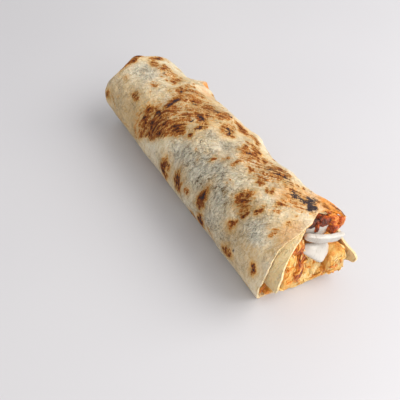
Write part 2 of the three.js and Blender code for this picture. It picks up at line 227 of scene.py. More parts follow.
def colour_ramp(value, stops):
    """A colour that changes with a value, through (place, colour) stops."""
    node = put(value.tree, "ShaderNodeValToRGB", {0: value})
    elements = node.color_ramp.elements
    elements[0].position, elements[0].color = stops[0]
    elements[1].position, elements[1].color = stops[-1]
    for place, colour in stops[1:-1]:
        elements.new(place).color = colour
    return out(node)


def bumped(height, distance, strength):
    node = put(height.tree, "ShaderNodeBump", {"Height": height, "Distance": distance, "Strength": strength})
    return out(node)


# %% [markdown]
# ## The toasted flatbread finish
# A flatbread is pale dough. Where it touched the hot iron it turned yellow, then brown, and at the few
# highest blisters black. The marks are painted on the mesh further down, as soft values called toast and
# char. Here the lumps and ridges of the dough are added to them, because what stands up browns first,
# and a ramp turns the sum into colours, so no mark has a drawn outline. The same ridges drive the bump,
# with painted highlight on their crests and painted shade in the hollows and thin creases between them.

# %% Colours of the dough and the crust
# The pale cream also serves as painted highlight on raised dough, and the crease colour is painted shade for
# hollows and creases.
CREAM, PALE_CREAM = linear(241, 219, 176), linear(252, 243, 220)
INNER_CREAM, OLIVE_CREAM = linear(247, 219, 163), linear(224, 217, 196)
TAN, CREASE_SHADE, HALO = linear(220, 187, 136), linear(112, 94, 66), linear(232, 180, 100)
YELLOW_CRUST, GOLD_CRUST = linear(236, 190, 112), linear(218, 148, 64)
BROWN_CRUST, DARK_CRUST = linear(166, 88, 26), linear(110, 52, 14)
BLACK_CRUST, CHAR = linear(58, 32, 20), linear(60, 46, 50)
SAUCE_STAIN = linear(242, 152, 48)

bread_finish, shader = new_material(
    "toasted_flatbread", Subsurface_Weight=0.1, Subsurface_Radius=(0.002, 0.0012, 0.0007),
    Subsurface_Scale=1.0, Specular_IOR_Level=0.25)
paint = bread_finish.node_tree
print("new finish:", bread_finish.name)

# %% Places on the unrolled sheet
ROLL_RADIUS = 33.0
ARC_PER_DEGREE = math.pi * ROLL_RADIUS / 180
# A push is the scale of a noise and how far it moves a place.
SHEET_PUSH = (0.12, 10.0)


def pushed(place, scale, distance):
    """A place pushed about by noise, so that no pattern on it runs straight."""
    three_noises = out(put(place.tree, "ShaderNodeTexNoise", {"Vector": place, "Scale": scale}), "Color")
    centred = vector_math("SUBTRACT", three_noises, (0.5, 0.5, 0.5))
    return vector_math("ADD", place, scaled(centred, distance))


def unrolled(sheet):
    """A place on the unrolled sheet, in millimetres."""
    along, degrees, _ = parts_of(sheet)
    return pushed(vector(sheet.tree, along, degrees * ARC_PER_DEGREE, 0.0), *SHEET_PUSH)


print(f"one degree round the roll is {ARC_PER_DEGREE:.3f} mm of sheet")

# %% Lumps, ridges and creases of the dough
# A noise has a scale, a detail and a roughness.
LUMP_NOISE, RIDGE_NOISE = (0.3, 4.0, 0.58), (0.5, 3.0, 0.6)
RIDGE_PUSH, RIDGE_STRETCH = (0.15, 4.0), 0.28
LEAN_FROM, LEAN_SPAN, LEAN_DRIFT = 140.0, 40.0, 14.0
LINE_DETAIL, LINE_ROUGHNESS = 3.0, 0.55


def lumps_on(flat):
    """The soft lumps of the dough, a few millimetres across."""
    return noise(flat, *LUMP_NOISE)


def ridges_on(sheet):
    """Short ridges that run round the roll, and lean over towards its length on top."""
    along, degrees, _ = parts_of(sheet)
    lean = ((LEAN_FROM - degrees) / LEAN_SPAN).at_least(0.0)
    first_lean = lean.at_most(1.0)
    drift = (first_lean * first_lean + (lean - first_lean) * 2) * LEAN_DRIFT
    place = vector(sheet.tree, along - drift, degrees * (ARC_PER_DEGREE * RIDGE_STRETCH), 0.0)
    return noise(pushed(place, *RIDGE_PUSH), *RIDGE_NOISE)


def thin_lines(flat, scale, width):
    """Thin wandering lines, which lie where a noise passes through zero."""
    return 1 - eased(abs(noise(flat, scale, LINE_DETAIL, LINE_ROUGHNESS)), 0.0, width)


# %% What the finish reads off the mesh
FINE_NOISE, GRAIN_NOISE = (0.9, 4.0, 0.6), (3.2, 3.0, 0.6)
CLOUD_NOISE, BLOTCH_NOISE = (0.045, 3.0), (0.36, 3.0, 0.55)
END_RIDGE_NOISE, PATCHY_NOISE = (0.35, 3.0, 0.6), (0.08, 2.0)
# Creases run round the roll, in two sizes: scale and width.
CREASE_STRETCH, CREASE_SIZES = (1.0, 0.45, 1.0), [(0.16, 0.03), (0.36, 0.055)]

toast, halo, char, stain, speck, tan = [
    painted(paint, name) for name in ("toast", "halo", "char", "stain", "speck", "tan")]
fold, valley, inside, end_face = [painted(paint, name) for name in ("fold", "valley", "inside", "end_face")]
sheet_place = painted(paint, "sheet", "Vector")
flat = unrolled(sheet_place)
# The folded end isn't unrolled, so what lies on it is read straight from its place in space.
spot = scaled(object_place(paint), 1 / MM)
lumps = mixed(lumps_on(flat), lumps_on(spot), end_face)
ridges = mixed(ridges_on(sheet_place), noise(spot, *END_RIDGE_NOISE), end_face)
fine, grain = noise(spot, *FINE_NOISE), noise(spot, *GRAIN_NOISE)
cloud, blotches = noise(spot, *CLOUD_NOISE), noise(spot, *BLOTCH_NOISE)
here_and_there = eased(noise(flat, *PATCHY_NOISE) + speck * 0.12, -0.06, 0.1)
drawn_out = vector_math("MULTIPLY", flat, CREASE_STRETCH)
# The crease lines, with the pleat valleys and long folds added below, groove the bump and mark where shade
# is painted.
creases = sum(thin_lines(drawn_out, scale, width) for scale, width in CREASE_SIZES) * here_and_there
creases = creases * (1 - end_face) + valley + fold
# The crests mark where a highlight is painted.
crests = 1 - eased(abs(ridges + fine * 0.3), 0.0, 0.07)
# Towards the mouth the sheet is stretched smooth.
SMOOTH_FROM, SMOOTH_TO, SMOOTHED = 55.0, 85.0, 0.45
calm = 1 - eased(parts_of(sheet_place)[0], SMOOTH_FROM, SMOOTH_TO) * SMOOTHED
print("the dough is read with", len(paint.nodes), "nodes")


# %% The colour of the dough, with painted light and shade
def in_middle(least, more):
    """A strength of painted shade and highlight that grows in the crumpled greyish middle."""
    return least + speck * more


# Raised lumps and ridges are paler: partly a cloudy tone that changes at random, partly painted highlight.
dough = blended(CREAM, PALE_CREAM, ramped(cloud + lumps * 0.6 + ridges * 0.7, -0.12, 0.2))
# Tan dough, which on the lower side turned from the light is partly painted shade.
dough = blended(dough, TAN, ramped(tan + cloud * 1.2 * tan, 0.0, 1.0))
dough = blended(dough, OLIVE_CREAM, ramped(speck + cloud * 2.0 * speck, 0.0, 1.0))
dough = blended(dough, INNER_CREAM, inside)
# Painted shade: the hollows between the ridges, and the creases, folds and pleat valleys, are painted
# darker, most in the crumpled middle and least where the sheet is stretched smooth.
sunk_shade = eased(ridges * -1 - fine * 0.4 - lumps * 0.4, 0.06, 0.28)
dough = blended(dough, CREASE_SHADE, sunk_shade * calm * in_middle(0.22, 0.55))
dough = blended(dough, CREASE_SHADE, creases * calm * in_middle(0.16, 0.5))
# Painted highlight on the crests of the ridges.
dough = blended(dough, PALE_CREAM, crests * in_middle(0.32, 0.6))
freckles = eased(fine + lumps * 0.5 + toast * 0.2, 0.14, 0.3) * 0.4
dough = blended(dough, YELLOW_CRUST, freckles)
dough = blended(dough, HALO, ramped(halo * (blotches * 2.0 + fine * 0.8 + 1.1), 0.0, 1.0))
dough = blended(dough, SAUCE_STAIN, ramped(stain * (lumps * 2.2 + fine + 1.0), 0.0, 1.0))
print("with the dough's colour there are", len(paint.nodes), "nodes")

# %% From dough to crust
CRUST_STOPS = [
    (0.1, YELLOW_CRUST), (0.36, GOLD_CRUST), (0.62, BROWN_CRUST), (0.88, DARK_CRUST), (1.0, BLACK_CRUST)]
BUMP_DEPTH, BUMP_STRENGTH = 0.0054, 0.9
in_mark, in_char = eased(toast, 0.0, 0.4), eased(char, 0.02, 0.3)
heat = toast + (ridges * 1.9 + blotches * 0.8 + fine * 1.2 + grain * 0.7) * in_mark
burnt = eased(char + (ridges * 1.6 + blotches + fine * 1.2 + grain * 0.4) * in_char, 0.28, 0.62)
bread_colour = blended(dough, colour_ramp(heat, CRUST_STOPS), eased(heat, 0.1, 0.46))
bread_colour = blended(bread_colour, CHAR, burnt)
feed(shader.inputs["Base Color"], bread_colour)
feed(shader.inputs["Roughness"], 0.72 - stain * 0.3 - burnt * 0.1)
# The crumpled middle and the toasted marks are rougher than the stretched dough beside them.
unevenness = (in_middle(0.6, 0.7) + in_mark * 0.3) * calm
relief = (ridges + crests * 0.07 + lumps * 0.5 + fine * 0.45 - creases * 0.2 + grain * 0.12) * unevenness
feed(shader.inputs["Normal"], bumped(relief, BUMP_DEPTH, BUMP_STRENGTH))
print("the flatbread finish has", len(paint.nodes), "nodes")

# %% [markdown]
# ## Rules that make meshes
# Geometry Nodes can grow a mesh from nothing but sizes. Each tree below has named inputs for its sizes
# and ends by turning instances into mesh and setting the material. The tree runs once, its result is
# kept as a plain mesh, and the modifier is taken off, because an exported model holds meshes and not
# rules.

# %% Trees with named inputs
SOCKET_KINDS = {
    int: "NodeSocketInt", float: "NodeSocketFloat",
    bpy.types.Object: "NodeSocketObject", bpy.types.Material: "NodeSocketMaterial",
}


def new_tree(name, inputs):
    """An empty geometry tree, and its named inputs as wires."""
    tree = bpy.data.node_groups.new(name, "GeometryNodeTree")
    tree.interface.new_socket("Geometry", in_out="OUTPUT", socket_type="NodeSocketGeometry")
    for title, value in inputs.items():
        tree.interface.new_socket(title, in_out="INPUT", socket_type=SOCKET_KINDS[type(value)])
    given = tree.nodes.new("NodeGroupInput")
    return tree, {title: out(given, title) for title in inputs}


def close_tree(tree, geometry, finish):
    """Ends a tree: instances become mesh, the mesh is shaded smooth and gets its material."""
    real = out(put(tree, "GeometryNodeRealizeInstances", {0: geometry}))
    smooth = out(put(tree, "GeometryNodeSetShadeSmooth", {0: real}))
    finished = out(put(tree, "GeometryNodeSetMaterial", {"Geometry": smooth, "Material": finish}))
    put(tree, "NodeGroupOutput", {0: finished})


def keep_result(piece):
    """Swaps an object's mesh for its evaluated result and removes the modifiers that made it."""
    graph = bpy.context.evaluated_depsgraph_get()
    mesh = bpy.data.meshes.new_from_object(piece.evaluated_get(graph), depsgraph=graph)
    mesh.name = piece.name
    piece.modifiers.clear()
    piece.data = mesh


def grow(name, tree, inputs):
    """Runs a tree once on an empty object and keeps the result as a plain mesh."""
    piece = bpy.data.objects.new(name, bpy.data.meshes.new(name))
    bpy.context.collection.objects.link(piece)
    rule = piece.modifiers.new("rule", "NODES")
    rule.node_group = tree
    for item in tree.interface.items_tree:
        if item.in_out == "INPUT":
            rule[item.identifier] = inputs[item.name]
    keep_result(piece)
    print(f"{name}: {len(piece.data.vertices)} vertices, {len(piece.data.loop_triangles)} triangles")
    return piece


# %% Places and values in a tree
def position(tree):
    return out(put(tree, "GeometryNodeInputPosition"))


def normal(tree):
    return out(put(tree, "GeometryNodeInputNormal"))


def named(tree, name):
    return out(put(tree, "GeometryNodeInputNamedAttribute", {"Name": name}, data_type="FLOAT"))


def named_vector(tree, name):
    return out(put(tree, "GeometryNodeInputNamedAttribute", {"Name": name}, data_type="FLOAT_VECTOR"))


def stored(geometry, name, value, kind="FLOAT", domain="POINT"):
    inputs = {"Geometry": geometry, "Name": name, "Value": value}
    return out(put(geometry.tree, "GeometryNodeStoreNamedAttribute", inputs, data_type=kind, domain=domain))


def stored_vector(geometry, name, value):
    return stored(geometry, name, value, "FLOAT_VECTOR")


def moved(geometry, **inputs):
    """Moves points to a Position, or by an Offset."""
    return out(put(geometry.tree, "GeometryNodeSetPosition", {"Geometry": geometry, **inputs}))


def moved_along_normal(geometry, distance):
    """Moves each point along its normal by a distance in millimetres."""
    return moved(geometry, Offset=scaled(normal(geometry.tree), distance * MM))


# %% Curves and humps for rules
def read_along(place, pairs):
    """A Float Curve node that reads a value off a list of (place, value) pairs."""
    places, values = zip(*pairs)
    first, span = places[0], places[-1] - places[0]
    low, height = min(values), max(values) - min(values)
    node = put(place.tree, "ShaderNodeFloatCurve", {"Value": (place - first) / span})
    points = node.mapping.curves[0].points
    points[0].location = (0, (values[0] - low) / height)
    points[1].location = (1, (values[-1] - low) / height)
    for at, value in pairs[1:-1]:
        points.new((at - first) / span, (value - low) / height)
    for point in points:
        point.handle_type = "AUTO_CLAMPED"
    node.mapping.update()
    return out(node) * height + low


def bell(distance, reach):
    """A smooth hump, one at its middle and fading out over its reach."""
    steps = distance / reach
    return (steps * steps * -1).math("EXPONENT")


# %% [markdown]
# ## The rolled flatbread
# The bread is one thin sheet wound nearly two turns, from a loose edge on the far side inwards, with one
# end tucked shut in pleats. It could be modelled by hand or draped as cloth, but it follows a rule: a
# spiral whose radius steps in by one sheet where it dives under itself. So a flat grid is rolled up by
# Geometry Nodes. One grid direction becomes the angle round the roll, the other the place along it.

# %% The sizes of the roll, in millimetres and degrees
BREAD_SIZES = {
    "Columns": 212, "Rows": 224,
    "Folded Half Width": 30.6, "Middle Half Width": 33.0, "Mouth Half Width": 33.2,
    "Half Length": 95.0, "Height To Width": 0.985, "Base Sink": 7.0, "Base Blend": 4.0,
    "Sheet": 1.5, "Slack": 0.4, "Turns": 1.75, "Seam Angle": 25.0,
    "Folded X": -98.5, "Rim Radius": 3.0, "End Hollow": 5.0, "Pleats": 5.0, "Pleat Depth": 2.4,
    "Corner Pull": 3.5, "Cut Depth": 8.0, "Bulge": 1.2, "Ripple": 0.45, "Torn Edge": 2.5,
    "Dimple": 3.0, "Wrinkle": 0.8,
}
# Where the sheet ends at the mouth (degrees wound, X), and the line of its loose edge (X, degrees).
MOUTH_EDGE = [
    (25, 92), (36, 90), (46, 87), (60, 85.5), (74, 86.5), (88, 90.5), (105, 91.5), (120, 91), (135, 92.5),
    (155, 94.5), (180, 95), (205, 93), (228, 90.5), (250, 93), (270, 95), (290, 96), (310, 97.5), (330, 100),
    (345, 105), (355, 109.5), (365, 95), (375, 91.5), (385, 90), (405, 87), (430, 84), (445, 86), (456, 92),
    (470, 95), (485, 97.5), (500, 100), (520, 103), (545, 101), (570, 95.5), (590, 92.5), (610, 93.5),
    (632, 96), (655, 97.5),
]
SEAM_LINE = [(-95, 27), (-46, 35), (-15, 23), (9, 30), (35, 32), (52, 44), (64, 48), (80, 42), (95, 30)]
# Places where the loose edge stands off the roll: X, reach and height.
SEAM_LIFTS = [(-56, 6, 5), (-46, 6, 2.5), (9, 8, 1.6), (62, 10, 0.8), (92, 16, 3.6)]
print(len(BREAD_SIZES), "sizes of the roll,", len(MOUTH_EDGE), "places on its edge at the mouth")

# %% The grid and its two directions
tree, size = new_tree("rolled_flatbread", {**BREAD_SIZES, "Finish": bread_finish})
grid = out(put(tree, "GeometryNodeMeshGrid", {
    "Size X": 1.0, "Size Y": 1.0, "Vertices X": size["Columns"], "Vertices Y": size["Rows"]}))
across_grid, up_grid, _ = parts_of(position(tree))
round_share, length_share = across_grid + 0.5, up_grid + 0.5
# Most columns go to the first turn, which shows, and few to the turn under it.
OUTER_COLUMNS, OUTER_TURN = 0.8, 1.03
turn = ramped(round_share, 0.0, OUTER_COLUMNS) * OUTER_TURN
turn = turn + ramped(round_share, OUTER_COLUMNS, 1.0) * (size["Turns"] - OUTER_TURN)
# The rows run out from the tucked middle of the folded end, round its rim and along the wall.
FACE_ROWS, RIM_ROWS, TUCK = 0.1, 0.13, 0.06
bend = ramped(length_share, FACE_ROWS, RIM_ROWS) * (math.pi / 2)
wall_share = ramped(length_share, RIM_ROWS, 1.0)
rim_share = size["Rim Radius"] / size["Folded Half Width"]
spread = mixed(TUCK, 1 - rim_share, ramped(length_share, 0.0, FACE_ROWS)) + rim_share * bend.math("SINE")
rim_step = size["Rim Radius"] * (1 - bend.math("COSINE"))
print("nodes for the two directions:", len(tree.nodes))

# %% The angle round the roll, and the loose edge that wanders
SEAM_SHARE = 0.2
seam_x = mixed(size["Folded X"], size["Half Length"], wall_share)
near_edge = (1 - turn / SEAM_SHARE).at_least(0.0)
wander = (read_along(seam_x, SEAM_LINE) - size["Seam Angle"]) * near_edge * near_edge
degrees = size["Seam Angle"] + turn * 360 + wander
angle = degrees.math("RADIANS")
sine, cosine = angle.math("SINE"), angle.math("COSINE")
# Nothing swells or wrinkles on the base, where the wall looks steeply down.
BASE_SINE = -0.6
clear_of_base = eased(sine, BASE_SINE, 0.0)
print("nodes with the angle:", len(tree.nodes))

# %% Corners and creases of the roll: angle, width and depth
FOLD_CORNER_ANGLE, FOLD_CORNER_WIDTH, FOLD_CORNER_REACH = 152.0, 42.0, 4.0
TOP_CORNER_ANGLE, TOP_CORNER_WIDTH, TOP_CORNER_REACH = 97.0, 11.0, 2.5
END_CREASE_ANGLE, END_CREASE_WIDTH, END_CREASE_DEPTH = 131.0, 19.0, 4.4
around = degrees.math("FLOORED_MODULO", 360.0)
fold_corner = bell(around - FOLD_CORNER_ANGLE, FOLD_CORNER_WIDTH)
top_corner = bell(around - TOP_CORNER_ANGLE, TOP_CORNER_WIDTH)
end_crease = bell(around - END_CREASE_ANGLE, END_CREASE_WIDTH)
print("nodes with the corners:", len(tree.nodes))

# %% How far each turn lies inside the roll's outer surface
FOLD_FLARE, FOLD_FLARE_FROM = 1.8, 70.0
BULGE_ANGLE, BULGE_LENGTH, BULGE_PEAK = 50.0, 105.0, -17.0
# Two ripples: millimetres for each radian along the roll, waves round it, and where they start.
RIPPLES = [(9, 2, 0), (5.3, -3, 1)]
DIVE_START, DIVE_END, LIFT_SHARE = 0.83, 0.965, 0.1
MOUTH_FROM, MOUTH_TO = 35.0, 95.0
PULL_ANGLE, PULL_WIDTH, CUT_ANGLE, CUT_WIDTH = 228, 17, 572, 42
dive = (size["Sheet"] + size["Slack"]) * eased(turn, DIVE_START, DIVE_END)


def swell(x):
    """The soft bulges of the wall, which fade out towards the base and the fold."""
    seam_side = (angle - math.radians(BULGE_ANGLE)).math("COSINE").at_least(0.0)
    wave = ((x - BULGE_PEAK) * (2 * math.pi / BULGE_LENGTH)).math("COSINE")
    ripple = sum((x / length + angle * waves + start).math("SINE") for length, waves, start in RIPPLES)
    at_fold = eased(x * -1, FOLD_FLARE_FROM, size["Folded X"] * -1)
    flare = at_fold * fold_corner * FOLD_FLARE
    ripple_height = size["Ripple"] * ripple * (1 - at_fold)
    return clear_of_base * (size["Bulge"] * seam_side * wave + ripple_height + flare)


def layer_inset(x):
    """Near the mouth the outer turn is pulled out to a corner, and the inner turn cuts that corner off."""
    at_mouth = eased(x, MOUTH_FROM, MOUTH_TO)
    pull = size["Corner Pull"] * bell(degrees - PULL_ANGLE, PULL_WIDTH)
    cut = size["Cut Depth"] * bell(degrees - CUT_ANGLE, CUT_WIDTH)
    loose = (1 - (degrees - read_along(x, SEAM_LINE)) / (360 * LIFT_SHARE)).at_least(0.0)
    lift = sum(bell(x - place, reach) * height for place, reach, height in SEAM_LIFTS)
    return dive + at_mouth * (cut - pull) - loose * loose * lift - swell(x)


# %% Where each row starts at the fold and ends at the mouth
FOLD_SLANT, TEARS_PER_DEGREE = 3.0, 0.11
torn = noise(vector(tree, degrees * TEARS_PER_DEGREE, turn, 0.0), 1.0, 3.0) * size["Torn Edge"]
end_x = read_along(degrees, MOUTH_EDGE) + torn
inwards = 1 - spread
folds = abs((angle * size["Pleats"] / 2 + inwards * 2).math("SINE"))
pleat = (1 - folds * 2) * size["Pleat Depth"] * spread * inwards * 4
pulled = fold_corner * FOLD_CORNER_REACH + top_corner * TOP_CORNER_REACH - end_crease * END_CREASE_DEPTH
slant = spread * cosine * FOLD_SLANT - spread * spread * spread * pulled
start_x = size["Folded X"] + slant + inwards * inwards * size["End Hollow"] + pleat + rim_step
inset = layer_inset(mixed(start_x, end_x, wall_share))
x = mixed(start_x + dive, end_x, wall_share)
print("nodes with both ends:", len(tree.nodes))

# %% Each grid point on the section of the roll
along = x / size["Half Length"]
widening = (size["Mouth Half Width"] - size["Folded Half Width"]) / 2
sag = (size["Mouth Half Width"] + size["Folded Half Width"]) / 2 - size["Middle Half Width"]
half_width = size["Middle Half Width"] + widening * along + sag * along * along
half_height = half_width * size["Height To Width"]
axis_height = half_height - size["Base Sink"]
lowest = inset.at_least(0.0)
height = axis_height + (half_height - inset) * sine - lowest
flattened = (1 - abs(height) / size["Base Blend"]).at_least(0.0)
wall_z = lowest + height.at_least(0.0) + flattened * flattened * size["Base Blend"] / 4
middle = (axis_height + half_height) / 2
y = (half_width - inset) * cosine * spread
z = middle + (wall_z - middle) * spread
print("nodes with the section:", len(tree.nodes))

# %% Rolled up, with what the finish needs to know
FACE_FROM, FACE_TO = 0.98, 0.86
VALLEY_WIDTH, VALLEY_FROM, VALLEY_TO = 0.3, 0.95, 0.6
shift_x, shift_y, _ = ROLL_SHIFT
# The pleat valleys of the folded end are kept as valley; the finish paints shade in them and grooves its
# bump there.
valley_lines = (1 - eased(folds, 0.0, VALLEY_WIDTH)) * (1 - eased(spread, VALLEY_TO, VALLEY_FROM))
rolled = stored_vector(grid, "sheet", vector(tree, x, degrees, turn))
rolled = stored(rolled, "clear_of_base", clear_of_base)
rolled = stored(rolled, "end_face", 1 - eased(spread, FACE_TO, FACE_FROM))
rolled = stored(rolled, "valley", valley_lines)
rolled = moved(rolled, Position=vector(tree, (x + shift_x) * MM, (y + shift_y) * MM, z * MM))
print("nodes for the rolled sheet:", len(tree.nodes))

# %% Wrinkled along its own face
# The wrinkles fade out where the sheet dives under itself.
DIMPLE_NOISE, FADE_START, FADE_END = (75.0, 2.0), 0.8, 0.95
own_sheet = named_vector(tree, "sheet")
first_turn = 1 - eased(parts_of(own_sheet)[2], FADE_START, FADE_END)
dimples = noise(position(tree), *DIMPLE_NOISE) * size["Dimple"]
wrinkles = lumps_on(unrolled(own_sheet)) * size["Wrinkle"] * first_turn * (1 - named(tree, "end_face"))
rolled = moved_along_normal(rolled, (dimples + wrinkles) * named(tree, "clear_of_base"))
close_tree(tree, rolled, size["Finish"])
flatbread = grow("flatbread_roll", tree, {**BREAD_SIZES, "Finish": bread_finish})

# %% [markdown]
# ## The thickness of the sheet
# A real flatbread is about one and a half millimetres thick. Solidify gives the rolled face its second
# face and closes the rim all round, so the bread is a true solid and its cut edges show at the mouth.

# %% A second face and a rim
RIM_SHARPNESS = 50
one_face = len(flatbread.data.vertices)
thickness = flatbread.modifiers.new("thickness", "SOLIDIFY")
thickness.thickness = BREAD_SIZES["Sheet"] * MM
thickness.offset = -1.0
keep_result(flatbread)
flatbread.data.set_sharp_from_angle(angle=math.radians(RIM_SHARPNESS))
print("flatbread has", len(flatbread.data.polygons), "faces in two layers")

# %% [markdown]
# ## Toast marks
# The marks come from the hot iron that the rolled wrap was pressed with, so they lie on the outside. The
# large ones are soft ovals, listed as X, degrees round the roll, half length, reach back, reach on,
# turn and strength. A short reach to one side makes the hard edge of a crease. Smaller marks between
# them are drawn by lot inside a few areas. Stains, tan dough and folds are painted in the same way; the
# folds are painted shade with a groove in the bump, and the tan is partly painted shade on the lower side.

# %% Brown marks
TOAST_MARKS = [
    (-30, 152, 28, 26, 1.4, -37, 0.58), (-38, 128, 11, 3.4, 2.6, 0, 0.92), (-18, 122, 8, 5, 5, -10, 0.84),
    (-36, 136, 13, 7, 6, -20, 0.66), (-25, 132, 7, 5, 5, -30, 0.62), (-46, 150, 4, 8, 7, 0, 0.78),
    (-36, 143, 5, 5, 6, 0, 0.75), (-49, 133, 3, 4, 4, 0, 0.8), (-27, 88, 30, 19, 17, 0, 0.3),
    (-39, 105, 3.6, 11, 9, 0, 0.85), (-32, 108, 6, 6, 6, 0, 0.5), (-21, 105, 6, 5, 5, 0, 0.56),
    (-14, 96, 9, 3, 3, 5, 0.7), (-46, 87, 6, 4, 4, 10, 0.6), (-30, 84, 8, 5, 5, 0, 0.6),
    (-18, 76, 9, 6, 6, 0, 0.6), (-8, 70, 5, 6, 6, 0, 0.6), (-38, 68, 5, 5, 5, 0, 0.5),
    (-6, 104, 1.8, 4, 4, 0, 0.7), (-6, 116, 2, 1.8, 1.8, 0, 0.8), (5, 78, 6, 7, 6, 0, 0.6),
    (5, 58, 9, 3, 3, 0, 0.6), (17, 54, 6, 2.4, 2.4, 10, 0.55), (40, 79, 24, 12, 12, 0, 0.33),
    (28, 80, 7, 6, 6, 0, 0.52), (50, 70, 10, 6, 6, 0, 0.6), (74, 76, 12, 12, 10, 0, 0.4),
    (88, 46, 4, 3, 3, 30, 0.7), (84, 54, 3, 2.5, 2.5, -30, 0.6), (92, 38, 3, 2.4, 2.4, 0, 0.6),
    (87, 37, 9, 1.8, 1.8, -25, 0.95), (-68, 77, 14, 7, 7, 0, 0.28), (-76, 77, 5, 6, 5, 0, 0.6),
    (-60, 75, 3.5, 5, 4, 0, 0.55), (-86, 84, 4.5, 4, 3.5, 0, 0.68), (-92.5, 72, 2.6, 8, 7, 0, 0.7),
    (-67, 135, 5.5, 3.5, 2.8, 0, 0.65), (-64, 107, 4.5, 4.5, 3.5, 0, 0.36), (-97.5, 167, 3, 4, 4, 0, 0.65),
    (-88.5, 170, 8, 0.8, 0.8, 63, 0.32), (-67, 186, 16, 0.8, 0.8, 2, 0.3), (-98, 110, 2.2, 14, 10, 0, 0.7),
    (-11, 175, 4.5, 10, 9, 0, 0.85), (6, 167, 6, 8, 8, 0, 0.88), (31, 155, 6, 11, 11, 0, 0.3),
    (31, 155, 3.2, 8.5, 8.5, 0, 0.95), (35, 187, 3.5, 8, 8, 0, 0.88), (24, 203, 4, 8, 8, 0, 0.8),
    (64, 181, 4, 5, 5, 20, 0.8), (85.5, 161, 2.4, 3.4, 3.4, 0, 0.95), (53, 121, 4, 8.5, 7, 12, 0.74),
    (58.5, 127, 4.4, 5.5, 5, 0, 0.6), (65, 115, 2.6, 3, 3, 0, 0.6), (59.5, 147, 2.2, 5, 5, 0, 0.6),
    (17, 165, 2.5, 5, 5, 0, 0.42), (24.5, 106, 2.6, 3.2, 3.2, 0, 0.42), (31.5, 100, 2.2, 3.6, 3.6, 0, 0.46),
    (19.5, 114, 1.8, 2.6, 2.6, 0, 0.5), (41, 96, 1.8, 2.6, 2.6, 0, 0.42), (72, 103, 3.2, 3.2, 3.2, 0, 0.36),
    (82, 119, 3, 5, 5, 0, 0.34), (46, 185, 4, 6, 6, 0, 0.3),
]
print(len(TOAST_MARKS), "brown marks given by hand")

# %% Burnt blisters and dark streaks
CHAR_MARKS = [
    (-38.5, 106, 2.2, 9, 8, 0, 0.62), (-45, 85, 4, 1.5, 1.5, 25, 0.6), (-28, 88, 2.4, 2.2, 2.2, 0, 0.6),
    (-13, 96, 6, 1.4, 1.4, 5, 0.62), (-15, 104, 1.3, 2.8, 2.8, 0, 0.55), (-6, 104, 1.3, 3, 3, 0, 0.6),
    (-37, 128, 6, 2, 2, -5, 0.45), (-18, 120, 3.4, 2.2, 2.2, 0, 0.45), (-92, 71, 1.6, 4, 4, 0, 0.4),
    (-76, 73, 2, 2.2, 2.2, 0, 0.5), (-70, 81, 1.6, 2, 2, 0, 0.45), (5.5, 79, 4, 4, 3.5, 10, 0.62),
    (6, 71, 1.5, 3.4, 3.4, 0, 0.58), (-14, 73, 4, 3.4, 3.4, -20, 0.45), (-8, 64, 2.4, 2.4, 2.4, 0, 0.42),
    (48, 72, 7, 4, 4, -10, 0.46), (57, 69, 4, 3.4, 3.4, -10, 0.46), (28, 80, 2, 3, 3, 0, 0.42),
    (81, 73, 4.2, 4.8, 4.8, 0, 0.85), (76, 64, 4.4, 5, 5, 0, 0.8), (72, 76, 6, 4, 4, -10, 0.66),
    (77, 70, 5, 4, 4, 0, 0.5), (69, 74, 4, 4, 4, 0, 0.4), (85.5, 161, 1.5, 2.2, 2.2, 0, 0.8),
    (31, 153, 1.5, 5, 5, 0, 0.65), (69, 168, 0.9, 2, 2, 30, 0.8), (3, 111, 2, 1, 1, 40, 0.7),
    (53.5, 117, 1.6, 4, 4, 8, 0.4), (-9, 168, 1.6, 5, 5, 0, 0.45), (7, 162, 2, 4, 4, 0, 0.45),
    (36, 184, 1.4, 5, 5, 0, 0.5),
]
print(len(CHAR_MARKS), "burnt marks")

# %% Stains, folds and tints of the dough
# Sauce that soaked through near the mouth, and under the flaps of the loose edge.
STAIN_MARKS = [
    (88, 40, 18, 14, 14, 0, 1.0), (80, 60, 12, 9, 9, 0, 0.55), (68, 80, 8, 8, 9, 0, 0.4),
    (-51, 38, 5, 3.5, 4.5, 0, 1.0), (0, 40, 10, 6, 6, 0, 0.3), (-40, 50, 9, 5, 5, 0, 0.3),
    (98, 240, 10, 14, 14, 0, 0.5), (89, 107, 7, 8, 8, 0, 0.3),
]
# Long folds in the crumpled middle, drawn as painted shade and a groove in the bump, its greyish tint,
# and the tan dough towards both ends.
FOLD_MARKS = [
    (47, 138, 12, 1.1, 1.1, 42, 0.95), (6, 127, 4.5, 1, 1, 85, 0.9), (-2, 132, 5, 0.9, 0.9, 80, 0.5),
    (12, 138, 7, 0.9, 0.9, 78, 0.6), (19, 129, 6, 1, 1, 70, 0.6), (27, 134, 7, 1, 1, 65, 0.7),
    (34, 121, 5, 0.9, 0.9, 60, 0.5), (21, 148, 5, 0.9, 0.9, 85, 0.5), (40, 128, 5, 1, 1, 55, 0.7),
    (14, 120, 4, 0.9, 0.9, 75, 0.5),
]
SPECK_MARKS = [
    (4, 98, 5, 4, 4, 0, 0.8), (17, 93, 8, 4.5, 4.5, -20, 0.8), (28, 132, 38, 15, 16, 0, 0.95),
    (30, 172, 40, 16, 20, 0, 0.5), (75, 129, 9, 8, 8, 0, 0.95), (-82, 104, 16, 8, 8, 0, 0.4),
]
# The three wide tan marks low on the side turned from the light, at 145 to 192 degrees, are partly painted
# shade.
TAN_AND_SHADE_MARKS = [
    (-78, 165, 30, 26, 34, 0, 0.9), (-25, 192, 40, 18, 20, 0, 0.35), (70, 145, 24, 14, 40, 0, 0.9),
    (84, 106, 9, 7, 7, -30, 0.8), (74, 128, 11, 10, 10, 20, 1.0), (89, 125, 5, 13, 14, 0, 1.0),
]
